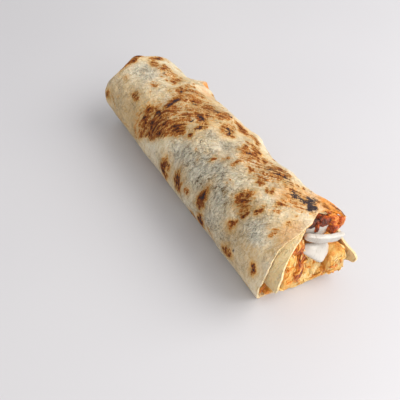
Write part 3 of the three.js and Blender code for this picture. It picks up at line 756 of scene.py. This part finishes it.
# Brown marks on the folded end, with Y and Z in place of X and degrees.
FACE_MARKS = [
    (-15, 41, 7, 4, 4, 30, 0.7), (6, 47, 6, 3, 3, -10, 0.65), (17, 33, 4, 6, 6, 0, 0.6),
    (-9, 21, 5, 3, 3, -40, 0.5), (4, 33, 3, 3, 3, 0, 0.6), (12, 13, 6, 3, 3, 15, 0.55),
    (-21, 24, 3, 5, 5, 0, 0.65),
]
print(len(STAIN_MARKS), "stains and", len(FOLD_MARKS), "folds")

# %% Smaller marks drawn by lot
# Areas: X from and to, degrees from and to, how many, largest, strongest.
LOT_AREAS = [
    (-52, 0, 62, 104, 46, 3.4, 0.62), (-82, -56, 64, 90, 14, 3.0, 0.66), (18, 62, 62, 96, 40, 3.2, 0.8),
    (62, 86, 52, 98, 18, 3.0, 0.8), (-98, -50, 96, 170, 16, 2.4, 0.4), (-10, 90, 96, 130, 30, 1.8, 0.42),
    (-90, 90, 30, 60, 40, 2.6, 0.42), (-92, 88, 205, 375, 80, 6.0, 0.9),
]
LOT_SEED = 11
lot = np.random.default_rng(LOT_SEED)
for x_from, x_to, degrees_from, degrees_to, count, largest, strongest in LOT_AREAS:
    for _ in range(count):
        mark_x, mark_degrees = lot.uniform(x_from, x_to), lot.uniform(degrees_from, degrees_to)
        reach = largest * lot.uniform(0.35, 1.0)
        width = reach * lot.uniform(0.5, 0.9)
        strength = strongest * lot.uniform(0.5, 1.0)
        TOAST_MARKS.append((mark_x, mark_degrees, reach, width, width, lot.uniform(-60, 60), strength))
print(len(TOAST_MARKS), "brown marks in all")

# %% [markdown]
# ## Painting the marks
# A mark could be painted by hand in Texture Paint, but then it couldn't be changed by a number. So each
# vertex looks up the strongest mark that reaches it, and the value is kept as an attribute that the
# finish reads. Noise pushes the places about first, so that the ovals lose their even outline.

# %% How a mark is stamped
# Noises that push the places about: size of a wave, push, and the layer of the noise that is read.
OUTLINE_PUSHES = [(9, 2.4, 1.5), (3, 1.2, 6.5)]
MARK_SEED, MARK_FALLOFF = 7, 1.6
# Round each mark the dough is only yellowed, somewhat further than the brown reaches.
HALO_GROWTH, HALO_MARGIN, HALO_STRENGTH = 1.35, 1.2, 0.9
blender_noise.seed_set(MARK_SEED)


def uneven(flat):
    """Flat places, in millimetres, pushed about by noise."""
    places = flat
    for wave, push, layer in OUTLINE_PUSHES:
        noises = [blender_noise.noise_vector((x / wave, y / wave, layer))[:2] for x, y in flat]
        places = places + np.array(noises) * push
    return places


def stamp(places, marks, step=ARC_PER_DEGREE):
    """The strongest mark at each place; a mark's second number counts steps of so many millimetres."""
    value = np.zeros(len(places))
    for x, steps, half_length, reach_back, reach_on, turn, strength in marks:
        ahead, sideways = places[:, 0] - x, places[:, 1] - steps * step
        cos, sin = math.cos(math.radians(turn)), math.sin(math.radians(turn))
        long_way = (ahead * cos + sideways * sin) / half_length
        short_way = sideways * cos - ahead * sin
        short_way = np.where(short_way < 0, short_way / reach_back, short_way / reach_on)
        value = np.maximum(value, strength * np.exp(-(long_way ** 2 + short_way ** 2) ** MARK_FALLOFF))
    return value


def halos(marks):
    """The same marks, wider, and no stronger than a halo may be."""
    wider = []
    for x, steps, *reaches, turn, strength in marks:
        grown = [reach * HALO_GROWTH + HALO_MARGIN for reach in reaches]
        wider.append((x, steps, *grown, turn, min(strength, HALO_STRENGTH)))
    return wider


# %% Where the vertices lie on the sheet and on the folded end
points = len(flatbread.data.vertices)


def read_mesh(values, field, width):
    """Numbers of every vertex, as rows of a given width."""
    numbers = np.zeros(points * width)
    values.foreach_get(field, numbers)
    return numbers.reshape(-1, width)


sheet = read_mesh(flatbread.data.attributes["sheet"].data, "vector", 3)
outside = (np.arange(points) < one_face) & (sheet[:, 2] < 1.0)
on_face = read_mesh(flatbread.data.attributes["end_face"].data, "value", 1)[outside, 0]
vertex_places = read_mesh(flatbread.data.vertices, "co", 3)[outside]
wall_places = uneven(sheet[outside, :2] * (1, ARC_PER_DEGREE))
face_places = uneven(vertex_places[:, 1:] / MM)
print(len(wall_places), "of", points, "vertices lie outside")


# %% Paint the marks on the mesh
def paint_attribute(mesh, name, values):
    """Keeps one value for each vertex under a name."""
    layer = mesh.attributes.new(name, "FLOAT", "POINT")
    layer.data.foreach_set("value", values.astype(np.float32))
    print(f"{name}: mean {values.mean():.3f}, highest {values.max():.2f}")


# The inner face is wet with sauce over the browned meat.
WET_BELOW_DEGREES, WET_PAST_X, WETNESS = 95, 70, 0.8
wet = ~outside & (sheet[:, 1] < WET_BELOW_DEGREES) & (sheet[:, 0] > WET_PAST_X)
wall_marks = {
    "toast": TOAST_MARKS, "halo": halos(TOAST_MARKS), "char": CHAR_MARKS, "speck": SPECK_MARKS,
    "tan": TAN_AND_SHADE_MARKS, "stain": STAIN_MARKS, "fold": FOLD_MARKS,
}
face_marks = {"toast": FACE_MARKS, "halo": halos(FACE_MARKS)}
for name, marks in wall_marks.items():
    on_end = stamp(face_places, face_marks.get(name, []), step=1.0)
    values = np.zeros(points)
    values[outside] = stamp(wall_places, marks) * (1 - on_face) + on_end * on_face
    if name == "stain":
        values[wet] = WETNESS
    paint_attribute(flatbread.data, name, values)
paint_attribute(flatbread.data, "inside", (~outside).astype(float))

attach(flatbread, "root")
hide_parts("flatbread")

# %% [markdown]
# ## The chicken finish
# The chicken is roasted on a spit, sliced thin and tossed in sauce. One slice is pale inside, another is
# soaked orange, and thin edges are browned. Each piece of the mesh carries a value called tone, from
# pale to dark, and noise drawn out along the fibres spreads it, so one ramp serves all the meat.

# %% Meat materials
PATCH_NOISE, FLECK_NOISE, FIBRE_NOISE = (170.0, 3.0, 0.6), (620.0, 3.0, 0.65), (1.6, 3.0, 0.6)
FIBRE_BUMP, FIBRE_BUMP_STRENGTH = 0.0014, 0.9


def meat_finish(name, stops, tone_spread, roughness):
    """A moist meat: its tone wanders with noise, and thin fibres catch the light."""
    finish, shader = new_material(
        name, Subsurface_Weight=0.06, Subsurface_Radius=(0.002, 0.0011, 0.0006), Subsurface_Scale=1.0,
        Coat_Weight=0.15, Coat_Roughness=0.25)
    tree = finish.node_tree
    spot = object_place(tree)
    patches, flecks = noise(spot, *PATCH_NOISE), noise(spot, *FLECK_NOISE)
    fibres = noise(painted(tree, "fibre", "Vector"), *FIBRE_NOISE)
    tone = painted(tree, "tone") + patches * tone_spread + fibres * tone_spread * 0.8
    tone = tone + flecks * tone_spread * 0.3
    feed(shader.inputs["Base Color"], colour_ramp(tone, stops))
    feed(shader.inputs["Roughness"], patches * 0.4 + roughness)
    feed(shader.inputs["Normal"], bumped(fibres + flecks * 0.6, FIBRE_BUMP, FIBRE_BUMP_STRENGTH))
    return finish


chicken_finish = meat_finish("saucy_chicken", [
    (0.0, linear(250, 230, 186)), (0.25, linear(248, 212, 140)), (0.46, linear(244, 186, 94)),
    (0.64, linear(236, 152, 52)), (0.8, linear(196, 98, 30)), (0.92, linear(126, 56, 20)),
    (1.0, linear(74, 34, 18))], tone_spread=0.85, roughness=0.45)
browned_finish = meat_finish("browned_chicken", [
    (0.0, linear(250, 204, 140)), (0.18, linear(240, 150, 50)), (0.4, linear(206, 92, 22)),
    (0.58, linear(146, 58, 22)), (0.78, linear(84, 36, 20)), (1.0, linear(40, 22, 18))],
    tone_spread=1.3, roughness=0.42)
print("meat finishes:", chicken_finish.name, browned_finish.name)

# %% [markdown]
# ## The heap of chicken
# At the mouth the filling shows as a heap of torn slices. Each could be sculpted, but what matters is
# that they are uneven, fibrous and stay inside the bread. So Geometry Nodes put one block on each of a
# short list of points, draw it out to the piece's size, bend and dent it, groove it along its grain,
# brown its rims, and pull back whatever would pass through the bread. A ray from the roll's axis to each
# vertex finds the bread, so the heap fits it by itself.

# %% The pieces: place, half sizes, turns about X, Y and Z, and tone
CHICKEN_PIECES = [
    ((91.5, -9.5, 21), (4.5, 4.2, 15), (-10, -10, 0), 0.4),
    ((92, -2, 24.5), (4.5, 3.6, 12), (-16, -12, 10), 0.7),
    ((91, 6.5, 15), (4.5, 11, 14), (12, -11, 10), 0.3),
    ((88.5, -3, 7.5), (6.5, 9, 6.5), (10, 15, 10), 0.4),
    ((98.5, 23, 17.5), (5, 6.5, 11), (8, -6, -12), 0.4),
    ((93.5, 17.5, 6.5), (6.5, 6, 6), (-8, 10, -5), 0.46),
    ((92.3, 14, 8), (5.5, 6, 8), (20, -8, 10), 0.18),
    ((86, -2, 37), (6, 5, 5), (0, -20, 0), 0.6),
    ((84, 10, 28), (7, 8, 6), (0, 0, 30), 0.65),
    ((87, 22, 25), (6, 6, 6), (0, 10, 0), 0.56),
    ((86.5, -13, 8), (6, 6.5, 6), (20, 0, 10), 0.1),
    ((93.6, 8, 4.2), (4.5, 15, 3.8), (0, 0, -8), 0.28),
    ((87, -18, 23), (7, 5, 9.5), (15, -8, 0), 0.46),
    ((84, -12, 38), (7, 8, 7), (25, -12, 0), 0.5),
    ((82, -3, 46.5), (6.5, 8, 5), (5, -15, 10), 0.55),
]
BROWNED_LOBES = [
    ((81, 9, 50), (8, 6.5, 3), (-18, -6, 0), 0.8),
    ((84, 16.5, 48), (7, 6.5, 3), (-28, -8, 10), 0.56),
    ((86, 23, 44.5), (6.5, 5.5, 3.6), (-42, -10, 15), 0.16),
    ((88, 27, 42), (5, 3.4, 4.6), (-24, 0, 10), 0.12),
    ((90, 22, 42), (4.5, 5, 3), (-30, 0, 10), 0.4),
    ((88.5, 9.5, 49), (2.2, 1.2, 4.2), (-6, 0, 0), 0.55),
]
# Meat caught between the two turns of the bread, under the loose edge and at the lower corner of the mouth.
CAUGHT_PIECES = [
    ((80, 23.4, 49.2), (7, 4.8, 1.1), (-36, 0, 0), 0.72),
    ((85, 25.8, 47.2), (3.5, 3.2, 1.3), (-40, 0, 0), 0.66),
    ((85, -22.6, 8.6), (5, 1.8, 6), (-40, 0, 4), 0.6),
    ((87, -18.5, 4.0), (5, 4, 1.9), (-12, 0, 0), 0.5),
]
print(len(CHICKEN_PIECES), "pieces,", len(BROWNED_LOBES), "browned lobes,", len(CAUGHT_PIECES), "caught")

# %% The pieces as points
ACROSS_GRAIN, WITH_GRAIN = 0.75, 0.12
# A different number for each piece, far enough apart that no two get the same noise.
SALT_STEP = 7.3


def point_list(name, pieces):
    """A mesh of loose points that carry each piece's half sizes, turns, grain and tone."""
    mesh = bpy.data.meshes.new(name)
    mesh.from_pydata([in_metres(centre) for centre, *_ in pieces], [], [])
    half_sizes = np.array([sizes for _, sizes, _, _ in pieces], float)
    longest = half_sizes == half_sizes.max(axis=1, keepdims=True)
    thinnest = half_sizes == half_sizes.min(axis=1, keepdims=True)
    vectors = {
        "half_size": half_sizes * MM,
        "turn": np.radians([turns for _, _, turns, _ in pieces]),
        "grain": np.where(longest, WITH_GRAIN, ACROSS_GRAIN),
        "wide_sides": np.where(thinnest, 0.0, 1.0),
    }
    numbers = {"tone": [tone for *_, tone in pieces], "salt": np.arange(len(pieces)) * SALT_STEP}
    for title, values in vectors.items():
        mesh.attributes.new(title, "FLOAT_VECTOR", "POINT").data.foreach_set("vector", values.ravel())
    for title, values in numbers.items():
        mesh.attributes.new(title, "FLOAT", "POINT").data.foreach_set("value", values)
    return bpy.data.objects.new(name, mesh)


# %% Rays that find the bread
RAY_LENGTH, NEARLY_NOTHING = 0.1, 1e-6


def shape_of(source):
    """The mesh of an object that a tree has as an input."""
    return out(put(source.tree, "GeometryNodeObjectInfo", {"Object": source}), "Geometry")


def axis_under(tree, x):
    """The point of the roll's axis at a given X, in metres."""
    return vector(tree, x, ROLL_SHIFT[1] * MM, AXIS_HEIGHT * MM)


def cast_to_bread(bread, start, direction):
    """How far the bread lies from a place in a direction, and whether there is any."""
    cast = put(bread.tree, "GeometryNodeRaycast", {
        "Target Geometry": bread, "Source Position": start, "Ray Direction": direction,
        "Ray Length": RAY_LENGTH})
    return out(cast, "Hit Distance"), out(cast, "Is Hit")


def fitted_in_bread(geometry, bread, clearance):
    """Pulls points towards the roll's axis where they would reach into the bread, and up to the floor."""
    tree = geometry.tree
    here = position(tree)
    axis = axis_under(tree, parts_of(here)[0])
    ray = vector_math("SUBTRACT", here, axis)
    length = vector_math("LENGTH", ray)
    distance, is_hit = cast_to_bread(bread, axis, vector_math("NORMALIZE", ray))
    room = put(tree, "GeometryNodeSwitch", {
        "Switch": is_hit, "False": length, "True": distance - clearance * MM}, input_type="FLOAT")
    share = length.at_most(out(room)) / length.at_least(NEARLY_NOTHING)
    x, y, z = parts_of(vector_math("ADD", axis, scaled(ray, share)))
    return moved(geometry, Position=vector(tree, x, y, z.at_least(0.0)))


# %% Blocks on points
MEAT_SIZES = {
    "Fineness": 6, "Squareness": 0.44, "Dent": 0.5, "Groove": 0.9, "Roughness": 0.24, "Rim Browning": 0.1,
    "Clearance": 0.5,
}


def squared(side, power):
    """Draws one side of a ball out towards a block with rounded edges."""
    return side.math("SIGN") * abs(side).math("POWER", power)


def blocks_on_points(tree, size):
    """One block on each point, turned and drawn out to the piece's own size."""
    ball = out(put(tree, "GeometryNodeMeshIcoSphere", {"Radius": 1.0, "Subdivisions": size["Fineness"]}))
    block = [squared(side, size["Squareness"]) for side in parts_of(position(tree))]
    ball = moved(ball, Position=vector(tree, *block))
    ball = stored_vector(ball, "ball", position(tree))
    turned = put(tree, "FunctionNodeEulerToRotation", {0: named_vector(tree, "turn")})
    blocks = put(tree, "GeometryNodeInstanceOnPoints", {
        "Points": shape_of(size["Pieces"]), "Instance": ball, "Rotation": out(turned),
        "Scale": named_vector(tree, "half_size")})
    return out(put(tree, "GeometryNodeRealizeInstances", {0: out(blocks)}))


# %% From blocks to torn meat
BEND_NOISE, DENT_NOISE = (0.07, 1.0), (0.13, 2.0)
CRUMB_NOISE, GROOVE_NOISE = (0.8, 3.0, 0.6), (1.0, 3.0, 0.55)
# Noise seldom passes a quarter either way, so it is drawn out to about one.
NOISE_GAIN, GROOVE_GAIN, BEND_REACH = 4, 3, 9
RIM_FROM, RIM_TO = 0.7, 1.1


def meat_tree(name, inputs):
    """A tree that bends, dents, grooves and browns the blocks, and fits them inside the bread."""
    tree, size = new_tree(name, inputs)
    heap = blocks_on_points(tree, size)
    ball, half_size = named_vector(tree, "ball"), named_vector(tree, "half_size")
    in_mm = scaled(vector_math("MULTIPLY", ball, half_size), 1 / MM)
    salt = named(tree, "salt")
    own_corner = vector(tree, salt, salt * 0.7, salt * 0.3)
    own_place = vector_math("ADD", in_mm, own_corner)
    bends = noise(own_place, *BEND_NOISE) * BEND_REACH
    bent = vector_math("ADD", in_mm, vector(tree, bends, bends * 0.7, bends))
    along_grain = vector_math("MULTIPLY", bent, named_vector(tree, "grain"))
    heap = stored_vector(heap, "fibre", vector_math("ADD", along_grain, own_corner))
    across = vector_math("LENGTH", vector_math("MULTIPLY", ball, named_vector(tree, "wide_sides")))
    browned_rim = eased(across, RIM_FROM, RIM_TO) * size["Rim Browning"]
    heap = stored(heap, "tone", named(tree, "tone") + browned_rim)
    grooves = abs(noise(named_vector(tree, "fibre"), *GROOVE_NOISE)) * size["Groove"] * GROOVE_GAIN
    dents = noise(own_place, *DENT_NOISE) * size["Dent"] * NOISE_GAIN
    crumbs = noise(own_place, *CRUMB_NOISE) * size["Roughness"] * NOISE_GAIN
    heap = moved_along_normal(heap, dents + crumbs - grooves)
    heap = fitted_in_bread(heap, shape_of(size["Bread"]), size["Clearance"])
    close_tree(tree, heap, size["Finish"])
    return tree


# %% Chicken pieces, the browned slice and the caught meat
def meat(name, pieces, finish, **changes):
    """Grows one heap of meat from its list of pieces."""
    source = point_list(name + "_points", pieces)
    inputs = {"Pieces": source, "Bread": flatbread, **MEAT_SIZES, "Finish": finish, **changes}
    piece = grow(name, meat_tree(name, inputs), inputs)
    bpy.data.objects.remove(source)
    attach(piece, "root")
    return piece


# The caught pieces lie outside the inner turn, so nothing is pulled back from the bread.
NO_FITTING = -100.0
chicken = meat("chicken_pieces", CHICKEN_PIECES, chicken_finish, Fineness=5)
browned = meat("browned_slice", BROWNED_LOBES, browned_finish)
caught = meat("caught_chicken", CAUGHT_PIECES, chicken_finish, Fineness=5, Clearance=NO_FITTING)
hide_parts("chicken_filling")
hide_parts("browned_chicken")

# %% [markdown]
# ## The filling behind the mouth
# The heap goes on through the whole roll, but nobody sees it. One closed plug fills the bread from end
# to end. Geometry Nodes make it from a cylinder: the same rays find how far the bread lies from the axis
# in each direction, so the plug takes the shape of the room that is left.

# %% The plug
CORE_SIZES = {"From X": -90.0, "To X": 83.0, "Clearance": 0.6, "Widest": 28.0, "Bumps": 12.0}
CORE_TONE, CORE_FIBRES, CORE_NOISE = 0.72, 300.0, (3.0, 3.0)
inputs = {"Bread": flatbread, **CORE_SIZES, "Finish": chicken_finish}
tree, size = new_tree("filling_core", inputs)
core = out(put(tree, "GeometryNodeMeshCylinder", {
    "Vertices": 72, "Side Segments": 48, "Fill Segments": 14, "Radius": 1.0, "Depth": 1.0},
    fill_type="TRIANGLE_FAN"))
core_y, core_z, core_length = parts_of(position(tree))
bumps = noise(vector(tree, core_y, core_z, 0.0), *CORE_NOISE) * size["Bumps"]
core_x = (mixed(size["From X"], size["To X"], core_length + 0.5) + bumps + ROLL_SHIFT[0]) * MM
core_axis = axis_under(tree, core_x)
outward = vector(tree, 0.0, core_y, core_z)
distance, _ = cast_to_bread(shape_of(size["Bread"]), core_axis, outward)
reach = (distance - size["Clearance"] * MM).at_most(size["Widest"] * MM)
core = stored(core, "tone", CORE_TONE)
core = moved(core, Position=vector_math("ADD", core_axis, scaled(outward, reach)))
core = stored_vector(core, "fibre", scaled(position(tree), CORE_FIBRES))
close_tree(tree, core, size["Finish"])
filling_core = grow("filling_core", tree, inputs)
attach(filling_core, "root")

# %% [markdown]
# ## Shreds
# Where slices tear, thin shreds lie on the heap. There are too many to place by hand, so Geometry Nodes
# scatter one bent strip over the faces of the heap that look out of the mouth, each turned and sized by
# lot from a fixed seed, and fit them inside the bread like the heap.

# %% Where shreds may lie
SHRED_SIZES = {
    "Per Square Metre": 34000.0, "Lowest": 3.0, "Smallest": 1.6, "Largest": 3.4, "From X": 84.0,
    "Clearance": 0.3, "Seed": 5,
}
UPWARD_SHARE, LEAST_FACING = 0.5, 0.35
inputs = {"Heap": chicken, "Bread": flatbread, **SHRED_SIZES, "Finish": chicken_finish}
tree, size = new_tree("chicken_shreds", inputs)
heap_x, _, heap_z = parts_of(position(tree))
facing_x, _, facing_z = parts_of(normal(tree))
in_sight = heap_x.math("GREATER_THAN", (size["From X"] + ROLL_SHIFT[0]) * MM)
in_sight = in_sight * (facing_x + facing_z * UPWARD_SHARE).math("GREATER_THAN", LEAST_FACING)
in_sight = in_sight * heap_z.math("GREATER_THAN", size["Lowest"] * MM)
scatter = put(tree, "GeometryNodeDistributePointsOnFaces", {
    "Mesh": shape_of(size["Heap"]), "Selection": in_sight, "Density": size["Per Square Metre"],
    "Seed": size["Seed"]})
print("nodes for the scatter:", len(tree.nodes))

# %% One bent strip
STRIP_RADIUS, STRIP_END = 0.26, 0.25
strip = out(put(tree, "GeometryNodeCurveQuadraticBezier", {
    "Resolution": 8, "Start": (-1, 0, 0), "Middle": (0.1, 0.5, 0.3), "End": (1, 0, 0)}))
along_strip = out(put(tree, "GeometryNodeSplineParameter"), "Factor")
strip_taper = (along_strip * math.pi).math("SINE") * (1 - STRIP_END) + STRIP_END
outline = out(put(tree, "GeometryNodeCurvePrimitiveCircle", {"Resolution": 6, "Radius": STRIP_RADIUS}))
strip = out(put(tree, "GeometryNodeCurveToMesh", {
    "Curve": strip, "Profile Curve": outline, "Scale": strip_taper, "Fill Caps": True}))
print("nodes with the strip:", len(tree.nodes))

# %% Scattered shreds
FULL_TURN, PALEST_SHRED, DARKEST_SHRED, SHRED_FIBRES = 6.28, 0.15, 0.68, 400.0


def by_lot(low, high):
    """A random number for each shred, from the tree's seed."""
    return out(put(tree, "FunctionNodeRandomValue", {2: low, 3: high, "Seed": size["Seed"]}), 1)


spin = out(put(tree, "FunctionNodeEulerToRotation", {0: vector(tree, 0.0, 0.0, by_lot(0.0, FULL_TURN))}))
turned = put(tree, "FunctionNodeRotateRotation", {
    "Rotation": out(scatter, "Rotation"), "Rotate By": spin}, rotation_space="LOCAL")
shreds = out(put(tree, "GeometryNodeInstanceOnPoints", {
    "Points": out(scatter, "Points"), "Instance": strip, "Rotation": out(turned),
    "Scale": by_lot(size["Smallest"], size["Largest"]) * MM}))
shreds = stored(shreds, "tone", by_lot(PALEST_SHRED, DARKEST_SHRED), domain="INSTANCE")
shreds = out(put(tree, "GeometryNodeRealizeInstances", {0: shreds}))
shreds = fitted_in_bread(shreds, shape_of(size["Bread"]), size["Clearance"])
shreds = stored_vector(shreds, "fibre", scaled(position(tree), SHRED_FIBRES))
close_tree(tree, shreds, size["Finish"])
shreds = grow("chicken_shreds", tree, inputs)
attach(shreds, "root")

# %% [markdown]
# ## Raw onion
# Two slices of onion ring and one thick petal show white in the mouth. A slice is a strip bent to part
# of a ring, so Geometry Nodes draw an arc and sweep a rounded cross-section along it, thinner towards
# both ends. Raw onion is wet and lets light in a little way, and fine veins run through it.

# %% Onion material
ONION_WHITE, ONION_VEIN = linear(201, 196, 189), linear(180, 174, 163)
VEIN_STRETCH, VEIN_NOISE, CLOUDY_NOISE = (0.1, 1.4, 0.5), (1.0, 3.0), (120.0, 2.0)
# How deep the bump is, in metres, and its strength.
ONION_BUMP = (0.0003, 0.25)
onion_finish, shader = new_material(
    "raw_onion", Subsurface_Weight=0.15, Subsurface_Radius=(0.003, 0.003, 0.0025), Subsurface_Scale=1.0,
    Roughness=0.3, Coat_Weight=0.2, Coat_Roughness=0.12)
tree = onion_finish.node_tree
veins = noise(vector_math("MULTIPLY", painted(tree, "skin", "Vector"), VEIN_STRETCH), *VEIN_NOISE)
cloudy = noise(object_place(tree), *CLOUDY_NOISE)
onion_colour = blended(ONION_WHITE, ONION_VEIN, eased(veins + cloudy * 0.8, 0.0, 0.3))
feed(shader.inputs["Base Color"], onion_colour)
feed(shader.inputs["Normal"], bumped(veins + cloudy, *ONION_BUMP))
print("the onion finish has", len(tree.nodes), "nodes")

# %% The rule of an onion slice
ROUNDING, TAPER_POWER, THINNEST = 0.55, 8.0, 0.04
SLICE_NOISE, SLICE_WAVES = (0.16, 2.0), 1.8


def placed(geometry, size):
    """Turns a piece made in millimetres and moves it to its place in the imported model."""
    tree = geometry.tree
    turn = vector(tree, *[size[f"Turn {axis}"].math("RADIANS") for axis in "XYZ"])
    place = vector(tree, *[(size[axis] + shift) * MM for axis, shift in zip("XYZ", ROLL_SHIFT)])
    return out(put(tree, "GeometryNodeTransform", {
        "Geometry": geometry, "Translation": place, "Rotation": turn, "Scale": (MM, MM, MM)}))


def slice_tree(name, inputs):
    """A rounded strip swept along part of a ring, thinner towards both ends."""
    tree, size = new_tree(name, inputs)
    half_arc = size["Arc"].math("RADIANS") / 2
    arc = out(put(tree, "GeometryNodeCurveArc", {
        "Resolution": 40, "Radius": size["Radius"],
        "Start Angle": half_arc * -1, "Sweep Angle": half_arc * 2}))
    box = out(put(tree, "GeometryNodeCurvePrimitiveQuadrilateral", {
        "Width": size["Half Thickness"] * 2, "Height": size["Half Height"] * 2}))
    box = out(put(tree, "GeometryNodeFilletCurve", {
        "Curve": box, "Radius": size["Half Thickness"] * ROUNDING, "Count": 5}, mode="POLY"))
    middle_out = out(put(tree, "GeometryNodeSplineParameter"), "Factor") * 2 - 1
    taper = (1 - middle_out.math("POWER", TAPER_POWER)).at_least(THINNEST).math("SQRT")
    strip = out(put(tree, "GeometryNodeCurveToMesh", {
        "Curve": arc, "Profile Curve": box, "Scale": taper, "Fill Caps": True}))
    strip = stored_vector(strip, "skin", position(tree))
    # The strip is still in millimetres, so the step to metres is undone.
    strip = moved_along_normal(strip, noise(position(tree), *SLICE_NOISE) * SLICE_WAVES / MM)
    strip = moved(strip, Offset=vector(tree, size["Radius"] * -1, 0.0, 0.0))
    close_tree(tree, placed(strip, size), size["Finish"])
    return tree


# %% Two onion slices
LOWER_SLICE = {
    "Radius": 38.0, "Arc": 39.0, "Half Height": 2.6, "Half Thickness": 1.7,
    "X": 95.5, "Y": 12.6, "Z": 42.9, "Turn X": -10.0, "Turn Y": 4.0, "Turn Z": -22.0,
}
UPPER_SLICE = {
    "Radius": 18.0, "Arc": 60.0, "Half Height": 4.0, "Half Thickness": 1.6,
    "X": 89.0, "Y": 11.5, "Z": 44.5, "Turn X": -12.0, "Turn Y": -8.0, "Turn Z": -10.0,
}
CUT_SHARPNESS = 60


def onion_slice(name, sizes, node):
    inputs = {**sizes, "Finish": onion_finish}
    piece = grow(name, slice_tree(name, inputs), inputs)
    piece.data.set_sharp_from_angle(angle=math.radians(CUT_SHARPNESS))
    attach(piece, "root")
    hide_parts(node)


onion_slice("lower_onion_slice", LOWER_SLICE, "onion_slice_lower")
onion_slice("upper_onion_slice", UPPER_SLICE, "onion_slice_upper")

# %% [markdown]
# ## The onion petal
# The petal is a piece of one thick layer, cut off square: a shallow dome with a crisp rim. It could be
# cut out of a sphere, but a ball pressed nearly flat gives a closed form at once, and the same rule
# bends it over the dome and narrows it to its tip.

# %% Petal
PETAL_SIZES = {
    "Half Width": 10.3, "Half Height": 5.9, "Thickness": 3.4, "Dome Radius": 19.0, "Squareness": 0.52,
    "Tip Narrowing": 0.75, "Tip Shift": 3.5,
    "X": 96.2, "Y": 8.7, "Z": 32.2, "Turn X": -27.0, "Turn Y": -38.0, "Turn Z": 4.0,
}
RIM_POWER, PETAL_NOISE, PETAL_WAVES = 0.3, (0.1, 1.0), 1.5
inputs = {**PETAL_SIZES, "Finish": onion_finish}
tree, size = new_tree("onion_petal", inputs)
ball = out(put(tree, "GeometryNodeMeshUVSphere", {"Segments": 72, "Rings": 40, "Radius": 1.0}))
ball_y, ball_z, ball_x = parts_of(position(tree))
square_y, square_z = squared(ball_y, size["Squareness"]), squared(ball_z, size["Squareness"])
to_tip = (square_z * -1).at_least(0.0)
petal_y = square_y * size["Half Width"] * (1 - size["Tip Narrowing"] * to_tip) + size["Tip Shift"] * to_tip
petal_z = square_z * size["Half Height"]
dome = (petal_y * petal_y + petal_z * petal_z) / (size["Dome Radius"] * -2)
petal_x = dome + squared(ball_x, RIM_POWER) * size["Thickness"] / 2
petal = moved(ball, Position=vector(tree, petal_x, petal_y, petal_z))
petal = stored_vector(petal, "skin", position(tree))
petal = moved_along_normal(petal, noise(position(tree), *PETAL_NOISE) * PETAL_WAVES / MM)
close_tree(tree, placed(petal, size), size["Finish"])
petal = grow("onion_petal_white", tree, inputs)
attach(petal, "root")
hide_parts("onion_petal")

# %% [markdown]
# ## The light, the floor and the camera
# The wrap lies on a pale surface, lit by one large soft light from behind the far side, so the near side
# falls into a soft shade. A weaker light shows the mouth. The camera looks down at the mouth from the
# photograph's angle.

# %% Floor
FLOOR_HALF, FLOOR_PATCHES = 3.0, 3.0
FLOOR_GREY, FLOOR_PALE = linear(201, 201, 207), linear(207, 207, 212)
floor_finish, shader = new_material("pale_floor", Roughness=0.45)
shade = noise(object_place(floor_finish.node_tree), FLOOR_PATCHES)
floor_colour = blended(FLOOR_GREY, FLOOR_PALE, ramped(shade, -0.2, 0.2))
feed(shader.inputs["Base Color"], floor_colour)
floor_corners = [(x * FLOOR_HALF, y * FLOOR_HALF, 0) for x, y in ((-1, -1), (1, -1), (1, 1), (-1, 1))]
floor_mesh = bpy.data.meshes.new("floor")
floor_mesh.from_pydata(floor_corners, [], [(0, 1, 2, 3)])
floor_mesh.materials.append(floor_finish)
floor = bpy.data.objects.new("floor", floor_mesh)
bpy.context.collection.objects.link(floor)
print("the floor is", 2 * FLOOR_HALF, "m wide")

# %% Light
ROOM_COLOUR, ROOM_STRENGTH = (1.0, 0.98, 0.95, 1.0), 0.62
world = bpy.data.worlds.new("room")
world.use_nodes = True
background = world.node_tree.nodes["Background"]
background.inputs["Color"].default_value = ROOM_COLOUR
background.inputs["Strength"].default_value = ROOM_STRENGTH
bpy.context.scene.world = world
bpy.context.scene.view_settings.view_transform = "Standard"


def soft_light(name, place, aim, side, watts, colour):
    light = bpy.data.lights.new(name, "AREA")
    light.shape = "SQUARE"
    light.size = side
    light.energy = watts
    light.color = colour
    lamp = bpy.data.objects.new(name, light)
    lamp.location = place
    lamp.rotation_euler = (Vector(aim) - Vector(place)).to_track_quat("-Z", "Y").to_euler()
    bpy.context.collection.objects.link(lamp)
    print(f"{name}: {watts} W, {side} m wide")


soft_light("window", (0.5, 0.65, 0.8), aim=(0, 0, 0.02), side=0.9, watts=12.5, colour=(1.0, 0.97, 0.93))
soft_light("front", (1.0, 0.0, 0.45), aim=(0.09, 0, 0.03), side=0.8, watts=3.6, colour=(1.0, 0.98, 0.95))

# %% Camera
CAMERA_PLACE = in_metres((184.6, -138.1, 273.2))
LOOKING = Vector((-0.512, 0.356, -0.782)).normalized()
TO_THE_RIGHT = Vector((0.545, 0.838, 0.025))
FOCAL_PIXELS, IMAGE_PIXELS = 487.43, 400
upward = TO_THE_RIGHT.cross(LOOKING).normalized()
rightward = LOOKING.cross(upward)
lens = bpy.data.cameras.new("camera")
lens.sensor_width = 36.0
lens.lens = FOCAL_PIXELS / IMAGE_PIXELS * lens.sensor_width
camera = bpy.data.objects.new("camera", lens)
turned = Matrix((rightward, upward, -LOOKING)).transposed()
camera.matrix_world = Matrix.Translation(CAMERA_PLACE) @ turned.to_4x4()
bpy.context.collection.objects.link(camera)
bpy.context.scene.camera = camera
print("camera at", tuple(round(value, 3) for value in CAMERA_PLACE))
